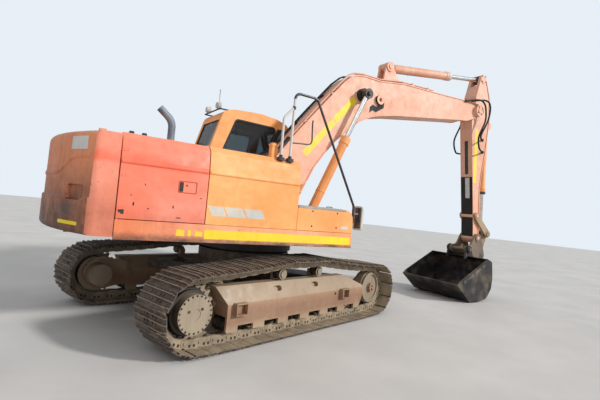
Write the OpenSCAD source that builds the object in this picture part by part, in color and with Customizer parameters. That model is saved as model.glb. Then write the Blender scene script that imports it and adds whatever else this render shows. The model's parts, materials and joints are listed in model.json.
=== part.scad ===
// Crawler excavator with a digging bucket on a quick hitch, as a jointed assembly.
// The origin is on the ground under the swing axis. +X is the way the boom points, +Y the cab's side.
// The pose is the one a parked machine holds: tracks turned a little under the upper body, arm hanging.

/* [Tracks] */
// Turn of the undercarriage under the upper body, degrees
track_turn = 15; // [0:1:20]
// Distance between the track centre planes
gauge = 2400; // [2350:10:2450]
// Width of a track shoe
shoe_w = 600; // [560:10:620]
// Number of shoes on one track
shoe_count = 49; // [47:1:51]
// Height of a grouser bar
grouser_h = 28; // [20:1:28]
// Sprocket centre, along the track
sprocket_x = -1780; // [-1800:5:-1770]
// Sprocket centre height
sprocket_z = 440; // [436:1:444]
// Pitch radius of the sprocket
sprocket_r = 325; // [322:1:326]
// Idler centre, along the track
idler_x = 1733; // [1720:1:1750]
// Idler centre height
idler_z = 425; // [423:1:428]
// Pitch radius of the idler
idler_r = 310; // [308:1:312]
// Teeth on the sprocket
sprocket_teeth = 21; // [19:2:23]
// Rollers under one track frame
roller_count = 7; // [6:1:8]
// Place of the rear carrier roller along the track
carrier_rear_x = -396; // [-402:1:-390]
// Place of the front carrier roller along the track
carrier_front_x = 349; // [343:1:355]

/* [Upper body] */
// Overall width of the upper body
body_w = 2706; // [2690:2:2720]
// Rear end of the side panels
rear_x = -2134; // [-2140:1:-2125]
// Seam between the pump door and the tank
seam_x = -1183; // [-1190:1:-1175]
// Front face of the tank
tank_x = 57; // [50:1:62]
// Front end of the deck
front_x = 1017; // [1010:1:1025]
// Bottom edge of the deck skirt
skirt_z = 1125; // [1120:1:1130]
// Bottom edge of the side panels
panel_z = 1335; // [1332:1:1340]
// Crease along the side panels
crease_z = 1925; // [1900:5:1940]
// Top of the side panels and the tank
house_z = 2239; // [2230:1:2245]
// Top of the toolbox
toolbox_z = 1659; // [1650:1:1665]
// Radius of the counterweight's rear face about the swing axis
weight_r = 2750; // [2740:5:2760]

/* [Cab] */
// Inner side of the cab, next to the boom
cab_y0 = 450; // [450:1:456]
// Outer side of the cab
cab_y1 = 1335; // [1330:1:1338]
// Thickness of the cab's walls
cab_wall = 45; // [42:1:48]
// Thickness of the window panes
glass_t = 6; // [5:0.5:8]
// Gap all round the cab door
door_gap = 8; // [6:1:10]

/* [Boom] */
// Boom foot pin, forward of the swing axis
foot_x = 220; // [216:1:224]
// Boom foot pin height
foot_z = 1930; // [1926:1:1934]
// Boom length, pin to pin
boom_len = 5700; // [5690:1:5710]
// Boom's rest angle above level
boom_rest = 23.86; // [23.5:0.02:24.2]
// Width of the boom's box
boom_w = 430; // [420:2:440]
// Radius of the boom's foot and tip pins
main_pin_r = 45; // [42:1:48]
// Radial running clearance of a pin in its bore
run_fit = 0.5; // [0.2:0.1:1]

/* [Arm] */
// Arm length, pin to pin
arm_len = 2920; // [2912:1:2928]
// Arm's rest angle below level
arm_rest = 81.7; // [81.3:0.1:82.1]
// Width of the arm's box
arm_w = 310; // [304:2:314]
// Radius of the arm's end pins
end_pin_r = 38; // [36:1:40]

/* [Cylinders] */
// Distance of a boom cylinder from the middle
lift_y = 355; // [354:0.5:356]
// Outer radius of a boom cylinder's barrel
lift_r = 76; // [70:1:76]
// Rod radius of a boom cylinder
lift_rod_r = 43; // [40:1:45]
// Outer radius of the arm cylinder's barrel
crowd_r = 85; // [80:1:86]
// Rod radius of the arm cylinder
crowd_rod_r = 48; // [45:1:50]
// Outer radius of the bucket cylinder's barrel
curl_r = 74; // [70:1:76]
// Rod radius of the bucket cylinder
curl_rod_r = 41; // [38:1:43]

/* [Bucket] */
// Width of the bucket
bucket_w = 1460; // [1400:10:1500]
// Thickness of the bucket's shell
shell_t = 22; // [18:1:26]
// Thickness of the cutting lip
lip_t = 38; // [32:1:42]

/* [Hidden] */
$fn = 40;

orange = [0.82, 0.47, 0.20];
faded = [0.78, 0.48, 0.30];
salmon = [0.76, 0.36, 0.25];
weight_brown = [0.62, 0.36, 0.20];
track_grey = [0.42, 0.38, 0.34];
dark = [0.20, 0.19, 0.18];
steel = [0.72, 0.70, 0.66];
glass_tint = [0.25, 0.30, 0.30, 0.5];

half_w = body_w / 2;
seat_gap = 0.3;
door_seam = 6;

// Track link sizes, measured from the pin line
rail_in = 47;
rail_out = 60;
plate_t = 12;
run_z = grouser_h + plate_t + rail_out;
rail_y0 = 60;
rail_y1 = 95;
carrier_z = 752;
carrier_r = 70;
roller_r = 80;
roller_z = run_z + rail_in + roller_r + seat_gap;
roller_span = 1300;
// Outermost rollers, short of the bend in the track
roller_reach = roller_span - 45;

// Boom points, [along the boom, above its pin line]
boom_d = [cos(boom_rest), sin(boom_rest)];
boom_n = [-boom_d.y, boom_d.x];
boom_foot = [foot_x, foot_z];
boom_tip = boom_foot + boom_len * boom_d;
lift_eye = [2330, 985];
crowd_foot = [3310, 1380];
// Foot of the boom cylinders on the upper body
lift_foot = [880, 1420];

// Arm points, [along the arm, out from its pin line]
arm_d = [cos(arm_rest), -sin(arm_rest)];
arm_n = [-arm_d.y, arm_d.x];
head_pin = [-773, 345];
curl_foot = [300, 600];
rocker_pin = [arm_len - 520, -30];
joint_pin = [arm_len - 45, 400];
link_pin = [arm_len + 435, 150];
end_pin = [arm_len, 0];
// Pins that hold the bucket in the hitch, in the machine's side plane
front_hook = [5480, 1075];
rear_hook = [5820, 760];
hook_pin_r = 35;

function in_boom(p) = boom_foot + p.x * boom_d + p.y * boom_n;
function in_arm(p) = boom_tip + p.x * arm_d + p.y * arm_n;
function angle_of(v) = atan2(v.y, v.x);
function unit(v) = v / norm(v);
function turn_left(v) = [-v.y, v.x];
function last(a) = a[len(a) - 1];

// A rounded outline from corners [x, y, radius]
function corner(a, b, c, r, n) =
  let (u = unit(a - b), v = unit(c - b), half = acos(max(-1, min(1, u * v))) / 2)
  let (d = min(r / tan(half), 0.49 * min(norm(a - b), norm(c - b))), rr = d * tan(half))
  let (m = b + unit(u + v) * rr / sin(half), p = b + u * d - m, q = b + v * d - m)
  let (a0 = angle_of(p), sweep = (angle_of(q) - a0 + 540) % 360 - 180)
  [for (i = [0:n]) m + rr * [cos(a0 + sweep * i / n), sin(a0 + sweep * i / n)]];
function outline(pts, n = 5) = [
  for (i = [0:len(pts) - 1])
    let (k = len(pts), a = pts[(i + k - 1) % k], b = pts[i], c = pts[(i + 1) % k])
    each (b.z == undef || b.z == 0 ? [[b.x, b.y]]
      : corner([a.x, a.y], [b.x, b.y], [c.x, c.y], b.z, n))
];
// The same corners moved inward by t on a clockwise outline, radii less t
function inset(pts, t) = [
  for (i = [0:len(pts) - 1])
    let (k = len(pts), a = pts[(i + k - 1) % k], b = pts[i], c = pts[(i + 1) % k])
    let (u = unit([b.x - a.x, b.y - a.y]), v = unit([c.x - b.x, c.y - b.y]))
    let (m = -(turn_left(u) + turn_left(v)), w = m / (m * m) * 2)
    [b.x + w.x * t, b.y + w.y * t, max(0, (b.z == undef ? 0 : b.z) - t)]
];

// A side profile in X and Z, from y0 to y1
module slab(pts, y0, y1) {
  translate([0, y1, 0]) rotate([90, 0, 0]) linear_extrude(y1 - y0) polygon(pts);
}
// A cross-section in Y and Z, from x0 to x1
module beam(pts, x0, x1) {
  translate([x0, 0, 0]) rotate([90, 0, 90]) linear_extrude(x1 - x0) polygon(pts);
}
// A plan outline, from z0 to z1
module plate(pts, z0, z1) {
  translate([0, 0, z0]) linear_extrude(z1 - z0) polygon(pts);
}
module block(a, b) {
  translate(a) cube(b - a);
}
// A round bar across the machine at side-plane point p
module pin(p, r, y0, y1) {
  translate([p.x, y1, p.y]) rotate([90, 0, 0]) cylinder(h = y1 - y0, r = r);
}
// A round bar between two points
module rod(a, b, r) {
  v = b - a;
  translate(a) rotate([0, acos(v.z / norm(v)), atan2(v.y, v.x)]) cylinder(h = norm(v), r = r);
}
// A bent tube through a list of points, each corner an elbow of radius bend, a little fuller than the tube
elbow_swell = 1;
module tube(pts, r, bend) {
  k = len(pts);
  dir = [for (i = [0:k - 2]) unit(pts[i + 1] - pts[i])];
  half = [for (i = [1:k - 2]) acos(dir[i - 1] * dir[i]) / 2];
  cut = concat([0], [for (h = half) bend * tan(h)], [0]);
  lap = [for (i = [0:k - 1]) i == 0 || i == k - 1 ? 0 : min(4, sqrt(bend) / 2)];
  for (i = [0:k - 2]) rod(pts[i] + dir[i] * (cut[i] - lap[i]), pts[i + 1] - dir[i] * (cut[i + 1] - lap[i + 1]), r);
  for (i = [1:k - 2]) {
    u = dir[i - 1];
    m = unit(dir[i] - (u * dir[i]) * u);
    w = cross(-m, u);
    c = pts[i] - u * cut[i] + m * bend;
    multmatrix([[-m.x, u.x, w.x, c.x], [-m.y, u.y, w.y, c.y], [-m.z, u.z, w.z, c.z], [0, 0, 0, 1]])
      rotate_extrude(angle = 2 * half[i - 1]) translate([bend, 0]) circle(r = r + elbow_swell);
  }
}
// A flat bar with round ends between side-plane points a and b
function strap(a, ra, b, rb, n = 8) =
  let (v = b - a, d = norm(v), t = angle_of(v), k = acos((ra - rb) / d))
  [each [for (i = [0:n]) a + ra * [cos(t + k + (360 - 2 * k) * i / n), sin(t + k + (360 - 2 * k) * i / n)]],
   each [for (i = [0:n]) b + rb * [cos(t - k + 2 * k * i / n), sin(t - k + 2 * k * i / n)]]];
module both_sides() {
  children();
  mirror([0, 1, 0]) children();
}
module boom_frame() {
  translate([foot_x, 0, foot_z]) rotate([0, -boom_rest, 0]) children();
}
module arm_frame() {
  translate([boom_tip.x, 0, boom_tip.y]) rotate([0, arm_rest, 0]) children();
}
// The undercarriage's own frame; side is 1 for the left track and -1 for the right
module under() {
  rotate([0, 0, track_turn]) children();
}
module at_track(side) {
  under() translate([0, side * gauge / 2, 0]) children();
}

// Track loop
carrier_x = [carrier_rear_x, carrier_front_x];
function tangent_at(c, r, p, side) = angle_of(p - c) + side * acos(r / norm(p - c));
run_end = [roller_span + 30, run_z];
drive_c = [sprocket_x, sprocket_z];
idler_c = [idler_x, idler_z];
carry_z = carrier_z + carrier_r + rail_in + 4;
carry = [[carrier_x[0], carry_z], [carrier_x[1], carry_z]];
a_drive_low = tangent_at(drive_c, sprocket_r, [-run_end.x, run_end.y], -1);
a_drive_top = tangent_at(drive_c, sprocket_r, carry[0], 1);
a_idler_top = tangent_at(idler_c, idler_r, carry[1], -1);
a_idler_low = tangent_at(idler_c, idler_r, run_end, 1);
function arc_at(c, r, a) = c + r * [cos(a), sin(a)];
// Clockwise sweep from a to b
function sweep_down(a, b) = (a - b + 720) % 360;
function arc_down(c, r, a, b, n) = [for (i = [0:n]) arc_at(c, r, a - sweep_down(a, b) * i / n)];
function hang(p, q, sag, n) = [for (i = [1:n - 1]) p + (q - p) * i / n - [0, 4 * sag * i / n * (1 - i / n)]];
top_run = [arc_at(drive_c, sprocket_r, a_drive_top), carry[0], carry[1], arc_at(idler_c, idler_r, a_idler_top)];
path = concat(
  [run_end, [-run_end.x, run_end.y]],
  arc_down(drive_c, sprocket_r, a_drive_low, a_drive_top, 24),
  hang(top_run[0], top_run[1], 16, 8), [carry[0]],
  hang(carry[0], carry[1], 6, 6), [carry[1]],
  hang(carry[1], top_run[3], 16, 8),
  arc_down(idler_c, idler_r, a_idler_top, a_idler_low, 24),
  [run_end]
);
steps = [for (i = [1:len(path) - 1]) norm(path[i] - path[i - 1])];
function running(i) = i == 0 ? 0 : steps[i - 1] + running(i - 1);
marks = [for (i = [0:len(path) - 1]) running(i)];
path_x = [for (i = [0:len(path) - 1]) [marks[i], path[i].x]];
path_z = [for (i = [0:len(path) - 1]) [marks[i], path[i].y]];
pitch = last(marks) / shoe_count;
pins = [for (i = [0:shoe_count - 1]) [lookup(i * pitch, path_x), lookup(i * pitch, path_z)]];
function pin_at(i) = pins[(i + shoe_count) % shoe_count];
function link_dir(i) = unit(pin_at(i + 1) - pin_at(i));
function link_out(i) = turn_left(link_dir(i));
function pin_out(i) = let (m = link_out(i) + link_out(i - 1)) m / (m * m) * 2;
// One shoe's outer face, [share of the pitch, 1 on a grouser's tip]
shoe_face = [[0.02, 0], [0.13, 1], [0.24, 0], [0.42, 0], [0.5, 1], [0.58, 0], [0.76, 0], [0.87, 1], [0.98, 0]];
shoe_line = [
  for (i = [0:shoe_count - 1]) each [
    for (f = shoe_face)
      pin_at(i) + (pin_at(i + 1) - pin_at(i)) * f[0] + link_out(i) * (rail_out + plate_t + f[1] * grouser_h)
  ]
];
function ring_line(d) = [for (i = [0:shoe_count - 1]) pin_at(i) + pin_out(i) * d];

module band(outer, inner, y0, y1) {
  n = len(outer);
  m = len(inner);
  translate([0, y1, 0]) rotate([90, 0, 0]) linear_extrude(y1 - y0)
    polygon(concat(outer, inner), [[for (i = [0:n - 1]) i], [for (i = [0:m - 1]) n + i]]);
}
module track() {
  color(track_grey) {
    band(shoe_line, ring_line(rail_out), -shoe_w / 2, shoe_w / 2);
    both_sides() band(ring_line(rail_out), ring_line(-rail_in), rail_y0, rail_y1);
  }
}

module sprocket_profile() {
  r0 = sprocket_r - 30;
  r1 = sprocket_r + 12;
  polygon([for (i = [0:sprocket_teeth - 1]) each [
    for (q = [[-0.30, r0], [-0.12, r1], [0.12, r1], [0.30, r0]])
      q[1] * [cos((i + q[0]) * 360 / sprocket_teeth), sin((i + q[0]) * 360 / sprocket_teeth)]
  ]]);
}
// Drive hub and sprocket; out is the outward direction along Y
hub_r = 205;
module final_drive(side) {
  at_track(side) scale([1, side, 1]) translate([sprocket_x, 0, sprocket_z]) color(dark) difference() {
    union() {
      translate([0, 26, 0]) rotate([90, 0, 0]) linear_extrude(52) sprocket_profile();
      pin([0, 0], 235, -guard_y0 + seat_gap, 100);
      pin([0, 0], hub_r, 90, 203);
      pin([0, 0], 150, -330, -100);
    }
    pin([0, 0], 60, 197, 210);
  }
}
module idler(side) {
  r = idler_r * cos(asin(pitch / 2 / idler_r)) - rail_in - 1;
  at_track(side) translate([idler_x, 0, idler_z]) color(track_grey) rotate([90, 0, 0]) difference() {
    union() {
      cylinder(h = 2 * rail_y1 - 2, r = r, center = true);
      cylinder(h = 2 * rail_y0 - 14, r = r + 18, center = true);
    }
    for (s = [-1, 1]) translate([0, 0, s * rail_y1]) difference() {
      cylinder(h = 50, r = r - 40, center = true);
      cylinder(h = 60, r = 75, center = true);
    }
    cylinder(h = 300, r = 45 + run_fit, center = true);
  }
}
// Underside of the top rails above each carrier
rail_low = [for (q = ring_line(-rail_in)) if (q.y > 600) [q.x, q.y]];
function carrier_seat(x) = lookup(x, rail_low) - carrier_r - 1.5;
post_y = -62;
module rollers(side) {
  at_track(side) scale([1, side, 1]) color(dark) {
    for (i = [0:roller_count - 1]) translate([-roller_reach + 2 * roller_reach * i / (roller_count - 1), 0, roller_z])
      rotate([90, 0, 0]) {
        cylinder(h = 200, r = roller_r - 8, center = true);
        for (s = [-1, 1]) translate([0, 0, s * 76]) cylinder(h = 48, r = roller_r, center = true);
        cylinder(h = 2 * (guard_y0 - seat_gap), r = 34, center = true);
      }
    for (x = carrier_x) translate([x, 0, carrier_seat(x)]) {
      pin([0, 0], carrier_r, post_y + seat_gap, 64);
      pin([0, 0], carrier_r - 22, post_y + seat_gap, 80);
    }
  }
}
guard_y0 = 125;
guard_y1 = 155;
frame_x0 = -1330;
frame_x1 = 1395;
frame_z = 335;
// Bottom of the roller guards, fold of the side plates and top of the frame
guard_z = 160;
fold_z = 475;
top_z = 672;
slope_rise = atan((guard_y1 - 62) / (top_z - fold_z));
module track_frame(side) {
  at_track(side) scale([1, side, 1]) color(track_grey) difference() {
    union() {
      intersection() {
        beam([[-guard_y1, frame_z], [guard_y1, frame_z], [guard_y1, fold_z], [62, top_z], [-62, top_z],
          [-guard_y1, fold_z]], frame_x0 - 200, frame_x1);
        slab([[frame_x0, frame_z - 1], [frame_x0, fold_z], [frame_x0 - 125, top_z + 1],
          [frame_x1 - 455, top_z + 1], [frame_x1, 500], [frame_x1, frame_z - 1]], -200, 200);
      }
      slab(outline([[frame_x0, guard_z, 30], [frame_x0, fold_z], [frame_x1, fold_z], [frame_x1, 330, 60],
        [frame_x1 - 90, guard_z, 60]]), guard_y0, guard_y1);
      slab(outline([[frame_x0, guard_z, 30], [frame_x0, fold_z], [1500, fold_z], [1610, 560, 30], [1830, 560, 60],
        [1830, 330, 60], [1600, 300], [1480, guard_z, 60]]), -guard_y1, -guard_y0);
      slab(outline([[frame_x0 - 10, frame_z - 60], [frame_x0 - 10, 600, 40], [sprocket_x - 10, sprocket_z + 255, 200],
        [sprocket_x - 250, sprocket_z + 20, 200], [sprocket_x - 10, sprocket_z - 240, 200]]), -guard_y1, -guard_y0);
      rod([frame_x0 - 40, -guard_y0, 440], [frame_x0 + 60, -guard_y0, 440], 60);
      for (x = carrier_x) {
        block([x - 45, -guard_y0, 520], [x + 45, post_y, carrier_z + 20]);
      }
      // Idler axle with its outer cap
      translate([idler_x, 0, idler_z]) {
        pin([0, 0], 45, -guard_y0 - 2, guard_y0 - 5);
        pin([0, 0], 68, rail_y1 + 4, guard_y0 - 5);
      }
      for (x = [-1165, 855]) difference() {
        block([x - 85, guard_y1 - 8, 352], [x + 85, guard_y1 + 66, 490]);
        block([x - 73, guard_y1 + 1, 364], [x + 73, guard_y1 + 80, 478]);
      }
    }
    translate([sprocket_x, 0, sprocket_z]) rotate([90, 0, 0])
      cylinder(h = 500, r = 150 + run_fit, center = true);
    for (x = [-510, 230]) translate([x, (guard_y1 + 62) / 2, (fold_z + top_z) / 2 + 20])
      rotate([slope_rise - 90, 0, 0]) linear_extrude(120, center = true) stretched(35, 35);
    for (i = [0:roller_count - 2]) {
      x = -roller_reach + 2 * roller_reach * (i + 0.5) / (roller_count - 1);
      both_sides() translate([x, guard_y1 + 2, guard_z + 33]) rotate([90, 0, 0])
        linear_extrude(guard_y1 - guard_y0 + 4) square([235, 70], center = true);
    }
    translate([665, guard_y1 + 1, 425]) rotate([90, 0, 0]) cylinder(h = 60, r = 22);
  }
}
// A hole of radius r drawn out by d to both sides
module stretched(d, r) {
  for (x = [-d, d]) translate([x, 0]) circle(r = r);
  square([2 * d, 2 * r], center = true);
}

ring_z0 = 930;
ring_z1 = 1052;
module car_body() {
  color(track_grey) under() {
    difference() {
      union() {
        translate([0, 0, 480]) cylinder(h = 300, r = 620);
        translate([0, 0, 779]) cylinder(h = ring_z0 - seat_gap - 779, r = 690);
        for (sx = [-1, 1]) scale([sx, 1, 1]) both_sides() {
          plate([[120, 380], [560, 200], [1010, gauge / 2 - guard_y1 - seat_gap],
            [470, gauge / 2 - guard_y1 - seat_gap]], 500, 640);
        }
      }
      translate([0, 0, 400]) cylinder(h = 700, r = 260);
    }
  }
}
module swing_ring() {
  color(dark) under() difference() {
    translate([0, 0, ring_z0]) cylinder(h = ring_z1 - ring_z0 - seat_gap, r = 590);
    translate([0, 0, ring_z0 - 1]) cylinder(h = ring_z1 - ring_z0 + 2, r = 500);
    for (i = [0:35]) rotate([0, 0, i * 10]) translate([496, 0, ring_z0 - 1])
      cylinder(h = ring_z1 - ring_z0 + 2, r = 12, $fn = 6);
  }
}

// Upper body
beam_y0 = 238;
beam_y1 = 276;
lug_y0 = 424;
lug_y1 = 445;
deck_z = 1260;
deck_t = 14;
seat_z = deck_z + deck_t + seat_gap;
wall_top = house_z - 34;
tail_x = -weight_r + 250;
module swing_frame() {
  color(dark) difference() {
    union() {
      translate([0, 0, ring_z1]) cylinder(h = 30, r = 720);
      difference() {
        translate([0, 0, ring_z0 + 30]) cylinder(h = ring_z1 - ring_z0 - 29, r = 720);
        translate([0, 0, ring_z0 + 20]) cylinder(h = 200, r = 592);
      }
      plate(outline([[rear_x + 4, -half_w + 40], [rear_x + 4, half_w - 40], [front_x - 12, half_w - 40, 60],
        [front_x - 12, -half_w + 40, 60]]), deck_z, deck_z + deck_t);
      both_sides() {
        slab(outline([[tail_x, ring_z1 + 29], [tail_x, 1210, 80], [-700, 1250, 200], [-440, 1290, 100],
          [foot_x - 160, foot_z + 40, 120], [foot_x + 60, foot_z + 200, 150],
          [foot_x + 210, foot_z - 60, 150], [lift_foot.x + 40, lift_foot.y + 150, 130],
          [lift_foot.x + 120, lift_foot.y - 40, 80],
          [lift_foot.x + 90, ring_z1 + 29, 60]]), beam_y0, beam_y1);
        slab(outline([[lift_foot.x - 160, deck_z + 10], [lift_foot.x - 90, lift_foot.y + 60, 90],
          [lift_foot.x + 70, lift_foot.y + 90, 90], [lift_foot.x + 100, deck_z - 60]]), lug_y0, lug_y1);
        pin(boom_foot, 120, beam_y1 - 1, beam_y1 + 30);
      }
      block([-2300, -beam_y1, ring_z1 + 20], [930, beam_y1, ring_z1 + 44]);
      // Mounts that carry the cab
      for (q = [[-480, cab_y0 + 100], [-480, cab_y1 - 140], [900, cab_y0 + 100], [900, cab_y1 - 140]])
        translate([q.x, q.y, deck_z]) cylinder(h = panel_z - deck_z, r = 55);
      block([lift_foot.x - 60, -lug_y1, deck_z - 70], [lift_foot.x + 90, lug_y1, deck_z + 1]);
      // Skirt beams along both sides and across the front
      both_sides() beam(outline([[half_w, skirt_z], [half_w, panel_z - 4], [half_w - 60, panel_z - 4],
        [half_w - 60, skirt_z + 70], [half_w - 25, skirt_z]]), rear_x + 4, front_x);
      // Pads that the side doors turn on
      both_sides() translate([rear_x + 20, half_w - 14, panel_z - 6]) cylinder(h = 9 - seat_gap, r = 10);
      block([front_x - 14, -half_w + 1, skirt_z + 30], [front_x, half_w - 1, panel_z - 4]);
      pin(boom_foot, main_pin_r, -beam_y1 - 40, beam_y1 + 40);
      both_sides() pin(lift_foot, 38, beam_y0, lug_y1 + 2);
    }
    // Skirt's front openings under the boom
    block([front_x - 30, -220, skirt_z + 60], [front_x + 30, 220, panel_z]);
  }
}
module counterweight() {
  // Radial section, [distance from the swing axis, height, corner radius]
  section = [[1500, 1140, 0], [1500, 2205, 0], [weight_r - 28, 2205, 70], [weight_r - 22, 1530, 12],
    [weight_r, 1508, 12], [weight_r, 1150, 60]];
  // Lifting eyes stand a little inside the rear face
  eye_y = sqrt(pow(weight_r, 2) - pow(rear_x - 296, 2)) - 157.5;
  color(weight_brown) difference() {
    union() {
      intersection() {
        rotate_extrude($fn = 120) polygon(outline([for (p = section) [p[0], p[1], p[2]]]));
        plate(outline([[rear_x - 4, -half_w], [-weight_r - 150, -half_w, 130], [-weight_r - 150, half_w, 130],
          [rear_x - 4, half_w]]),
          1100, 2300);
        plate(outline([[rear_x - 4, -half_w], [-2360, -half_w, 120], [-2460, -half_w + 90, 60], [-weight_r - 250, -500],
          [-weight_r - 250, 500], [-2460, half_w - 90, 60], [-2360, half_w, 120], [rear_x - 4, half_w]]), 1100, 2300);
      }
      both_sides() translate([rear_x - 166, eye_y, 2200]) rotate([90, 0, 90]) linear_extrude(60, center = true)
        difference() {
          polygon(outline([[-90, -20], [-60, 45, 40], [60, 45, 40], [90, -20]]));
          translate([0, 12]) circle(r = 18);
        }
    }
    // Slots for the frame's tail beams
    both_sides() block([tail_x - seat_gap, beam_y0 - 10, 1100], [rear_x, beam_y1 + 10, 1300]);
    block([-2310, -beam_y1 - 10, 1000], [rear_x, beam_y1 + 10, 1160]);
    both_sides() translate([-weight_r + 110, 1180, 1567]) rotate([0, 90, -27])
      linear_extrude(400, center = true) offset_box(160, 300, 40);
  }
}
module offset_box(w, h, r) {
  polygon(outline([[-w / 2, -h / 2, r], [-w / 2, h / 2, r], [w / 2, h / 2, r], [w / 2, -h / 2, r]]));
}
module engine() {
  color(dark) block([-1930, -420, seat_z], [-1280, 700, 2120]);
}
// Cross-section of the side panels: outer line from the skirt to the roof edge
function side_line(y_in, top, t) = [
  [-half_w + t, panel_z], [-half_w + t, crease_z], [-half_w + 30 + t, top - 70, 60],
  [-half_w + 95 + t, top - t, 40], [y_in, top - t]];
module house_panels() {
  color(orange) {
    // Bulkhead between the engine bay and the tank
    block([seam_x - 26, -half_w + 140, seat_z], [seam_x - 6, half_w - 140, wall_top]);
    // Roof strips beside the hood
    block([rear_x + 6, -half_w + 122, wall_top], [seam_x - 4, -460, house_z - 14]);
    block([rear_x + 6, 960, wall_top], [seam_x - 4, half_w - 122, house_z - 14]);
    // Rear wall ahead of the counterweight
    block([rear_x + 6, -half_w + 140, seat_z], [rear_x + 26, half_w - 140, wall_top]);
    // Posts that carry the roof strips
    for (y = [-470, 950]) block([rear_x + 26, y - 12, house_z - 90], [seam_x - 26, y + 12, wall_top]);
    // Valve cover between the tank and the cab
    slab(outline([[seam_x - 4, seat_z], [seam_x - 4, 2100, 30], [-640, 2100, 120], [-560, seat_z]]),
      -290, 440);
  }
}
module tank() {
  x0 = seam_x + 4;
  color(orange) beam(outline(concat([[-310, seat_z], [-half_w + 70, seat_z], [-half_w + 70, panel_z]],
    side_line(-310, house_z, 0))), x0, tank_x);
}
module toolbox() {
  color(orange) difference() {
    slab(outline([[tank_x + 4, panel_z], [tank_x + 4, toolbox_z], [front_x - 5, toolbox_z, 140],
      [front_x - 5, panel_z]]), -half_w, -520);
    slab([[tank_x + 30, panel_z + 20], [tank_x + 30, toolbox_z], [front_x - 172, toolbox_z],
      [front_x - 172, panel_z + 20]], -half_w + 30, -550);
    // Sill that the lid closes on
    slab([[tank_x, toolbox_z - lid_t], [tank_x, toolbox_z + 9], [lid_x1 + 6, toolbox_z + 9],
      [lid_x1 + 6, toolbox_z - lid_t]], -half_w - 1, -519);
  }
  color(orange) block([tank_x + 8, -half_w + 70, seat_z], [front_x - 20, -524, panel_z + 5]);
}
lid_t = 30;
lid_x0 = tank_x + 14;
lid_x1 = lid_x0 + 790;
module toolbox_lid() {
  color(steel) block([lid_x0, -half_w, toolbox_z - lid_t + seat_gap], [lid_x1, -520, toolbox_z]);
}
module side_cover() {
  color(orange) beam(outline([[460, seat_z], [460, house_z - 10], [half_w - 95, house_z - 10, 40],
    [half_w - 30, house_z - 80, 60], [half_w, crease_z], [half_w, panel_z], [half_w - 66, panel_z],
    [half_w - 66, seat_z]]), seam_x + 4, -660);
}
module pump_door() {
  door_panel(-1);
}
module radiator_door() {
  door_panel(1);
}
module door_panel(side) {
  // Outer line up the side and over the shoulder, then back down the inside of the sheet
  leaf_line = outline([[-half_w, panel_z + 3], [-half_w, crease_z], [-half_w + 30, house_z - 70, 60],
    [-half_w + 95, house_z - 4], [-half_w + 114, house_z - 26], [-half_w + 56, house_z - 86, 35],
    [-half_w + 28, crease_z + 3], [-half_w + 28, panel_z + 3]]);
  color(side < 0 ? salmon : orange) scale([1, -side, 1])
    beam(leaf_line, rear_x + door_seam, seam_x - door_seam);
}
hood_line = [[rear_x + 30, wall_top + seat_gap], [rear_x + 30, 2310, 60], [rear_x + 160, 2335, 40],
  [seam_x - 120, 2335, 40], [seam_x - 14, 2275, 40], [seam_x - 14, wall_top + seat_gap]];
module engine_hood() {
  color(orange) difference() {
    slab(outline(hood_line), -452, 952);
    slab(outline([for (q = inset(hood_line, 18)) [q.x, q.y < 2230 ? q.y - 60 : q.y, q[2]]]), -434, 934);
  }
}
module exhaust() {
  color(steel) {
    translate([-1460, -600, house_z - 13.5]) cylinder(h = 60, r = 62);
    tube([[-1460, -600, house_z + 40], [-1460, -600, 2560], [-1630, -600, 2700]], 45, 170);
  }
}
rail_y = -half_w + 53;
module handrails() {
  y = rail_y;
  color(orange) {
    tube([[-245, y, house_z + seat_gap], [-250, y, 2760], [-118, y, 2915]], 17, 90);
    tube([[-110, y, house_z + seat_gap], [-110, y, 3115], [240, y, 3115], [1048, y, 1728],
      [1048, y, 1480]], 17, 80);
    rod([front_x - 5 + seat_gap, y, 1520], [1045, y, 1520], 13);
  }
}
module side_mirror() {
  color(dark) {
    tube([[1048 + 17 + seat_gap, rail_y, 1620], [1090, rail_y, 1620], [1125, rail_y - 25, 1620]], 11, 30);
    translate([1125, rail_y - 25, 1560]) rotate([0, 0, 8]) translate([12, 0, 0])
      rotate([90, 0, 90]) linear_extrude(34, center = true) offset_box(160, 350, 40);
  }
}

// Cab
// Side outline of the cab, clockwise from the rear bottom corner
cab_z = panel_z + seat_gap;
cab_side = [[-600, cab_z, 20], [-598, 2250, 200], [-545, 2490, 200], [-375, 3092, 110], [-200, 3156, 400], [300, 3184, 600],
  [620, 3150, 400], [846, 3080, 110],
  [1010, 2640, 500], [1172, 2000, 300], [1185, 1800, 100], [1185, cab_z, 60]];
cab_in = inset(cab_side, cab_wall);
side_window = [[-430, 2030, 60], [-330, 2490, 100], [-150, 3005, 70], [640, 2995, 70], [455, 2480, 200],
  [400, 2030, 60]];
front_window = [[470, 2030, 50], [520, 2470, 200], [705, 2985, 50], [772, 2985, 40], [925, 2600, 300],
  [1075, 2030, 50]];
door_hole = [[-500, 1380, 40], [-500, 2280, 60], [-430, 2490, 120], [-280, 3010, 70], [660, 3000, 70],
  [575, 2480, 200], [560, 1380, 60]];
door_window = [[-420, 2020, 50], [-350, 2480, 100], [-215, 2935, 60], [565, 2925, 60], [495, 2480, 200],
  [480, 2020, 50]];
door_low_window = [[-330, 1480, 50], [-330, 1900, 50], [470, 1900, 50], [470, 1480, 50]];
quarter_window = [[645, 2030, 40], [665, 2480, 200], [745, 2985, 40], [785, 2985, 40], [930, 2600, 300],
  [1080, 2030, 50]];
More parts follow.
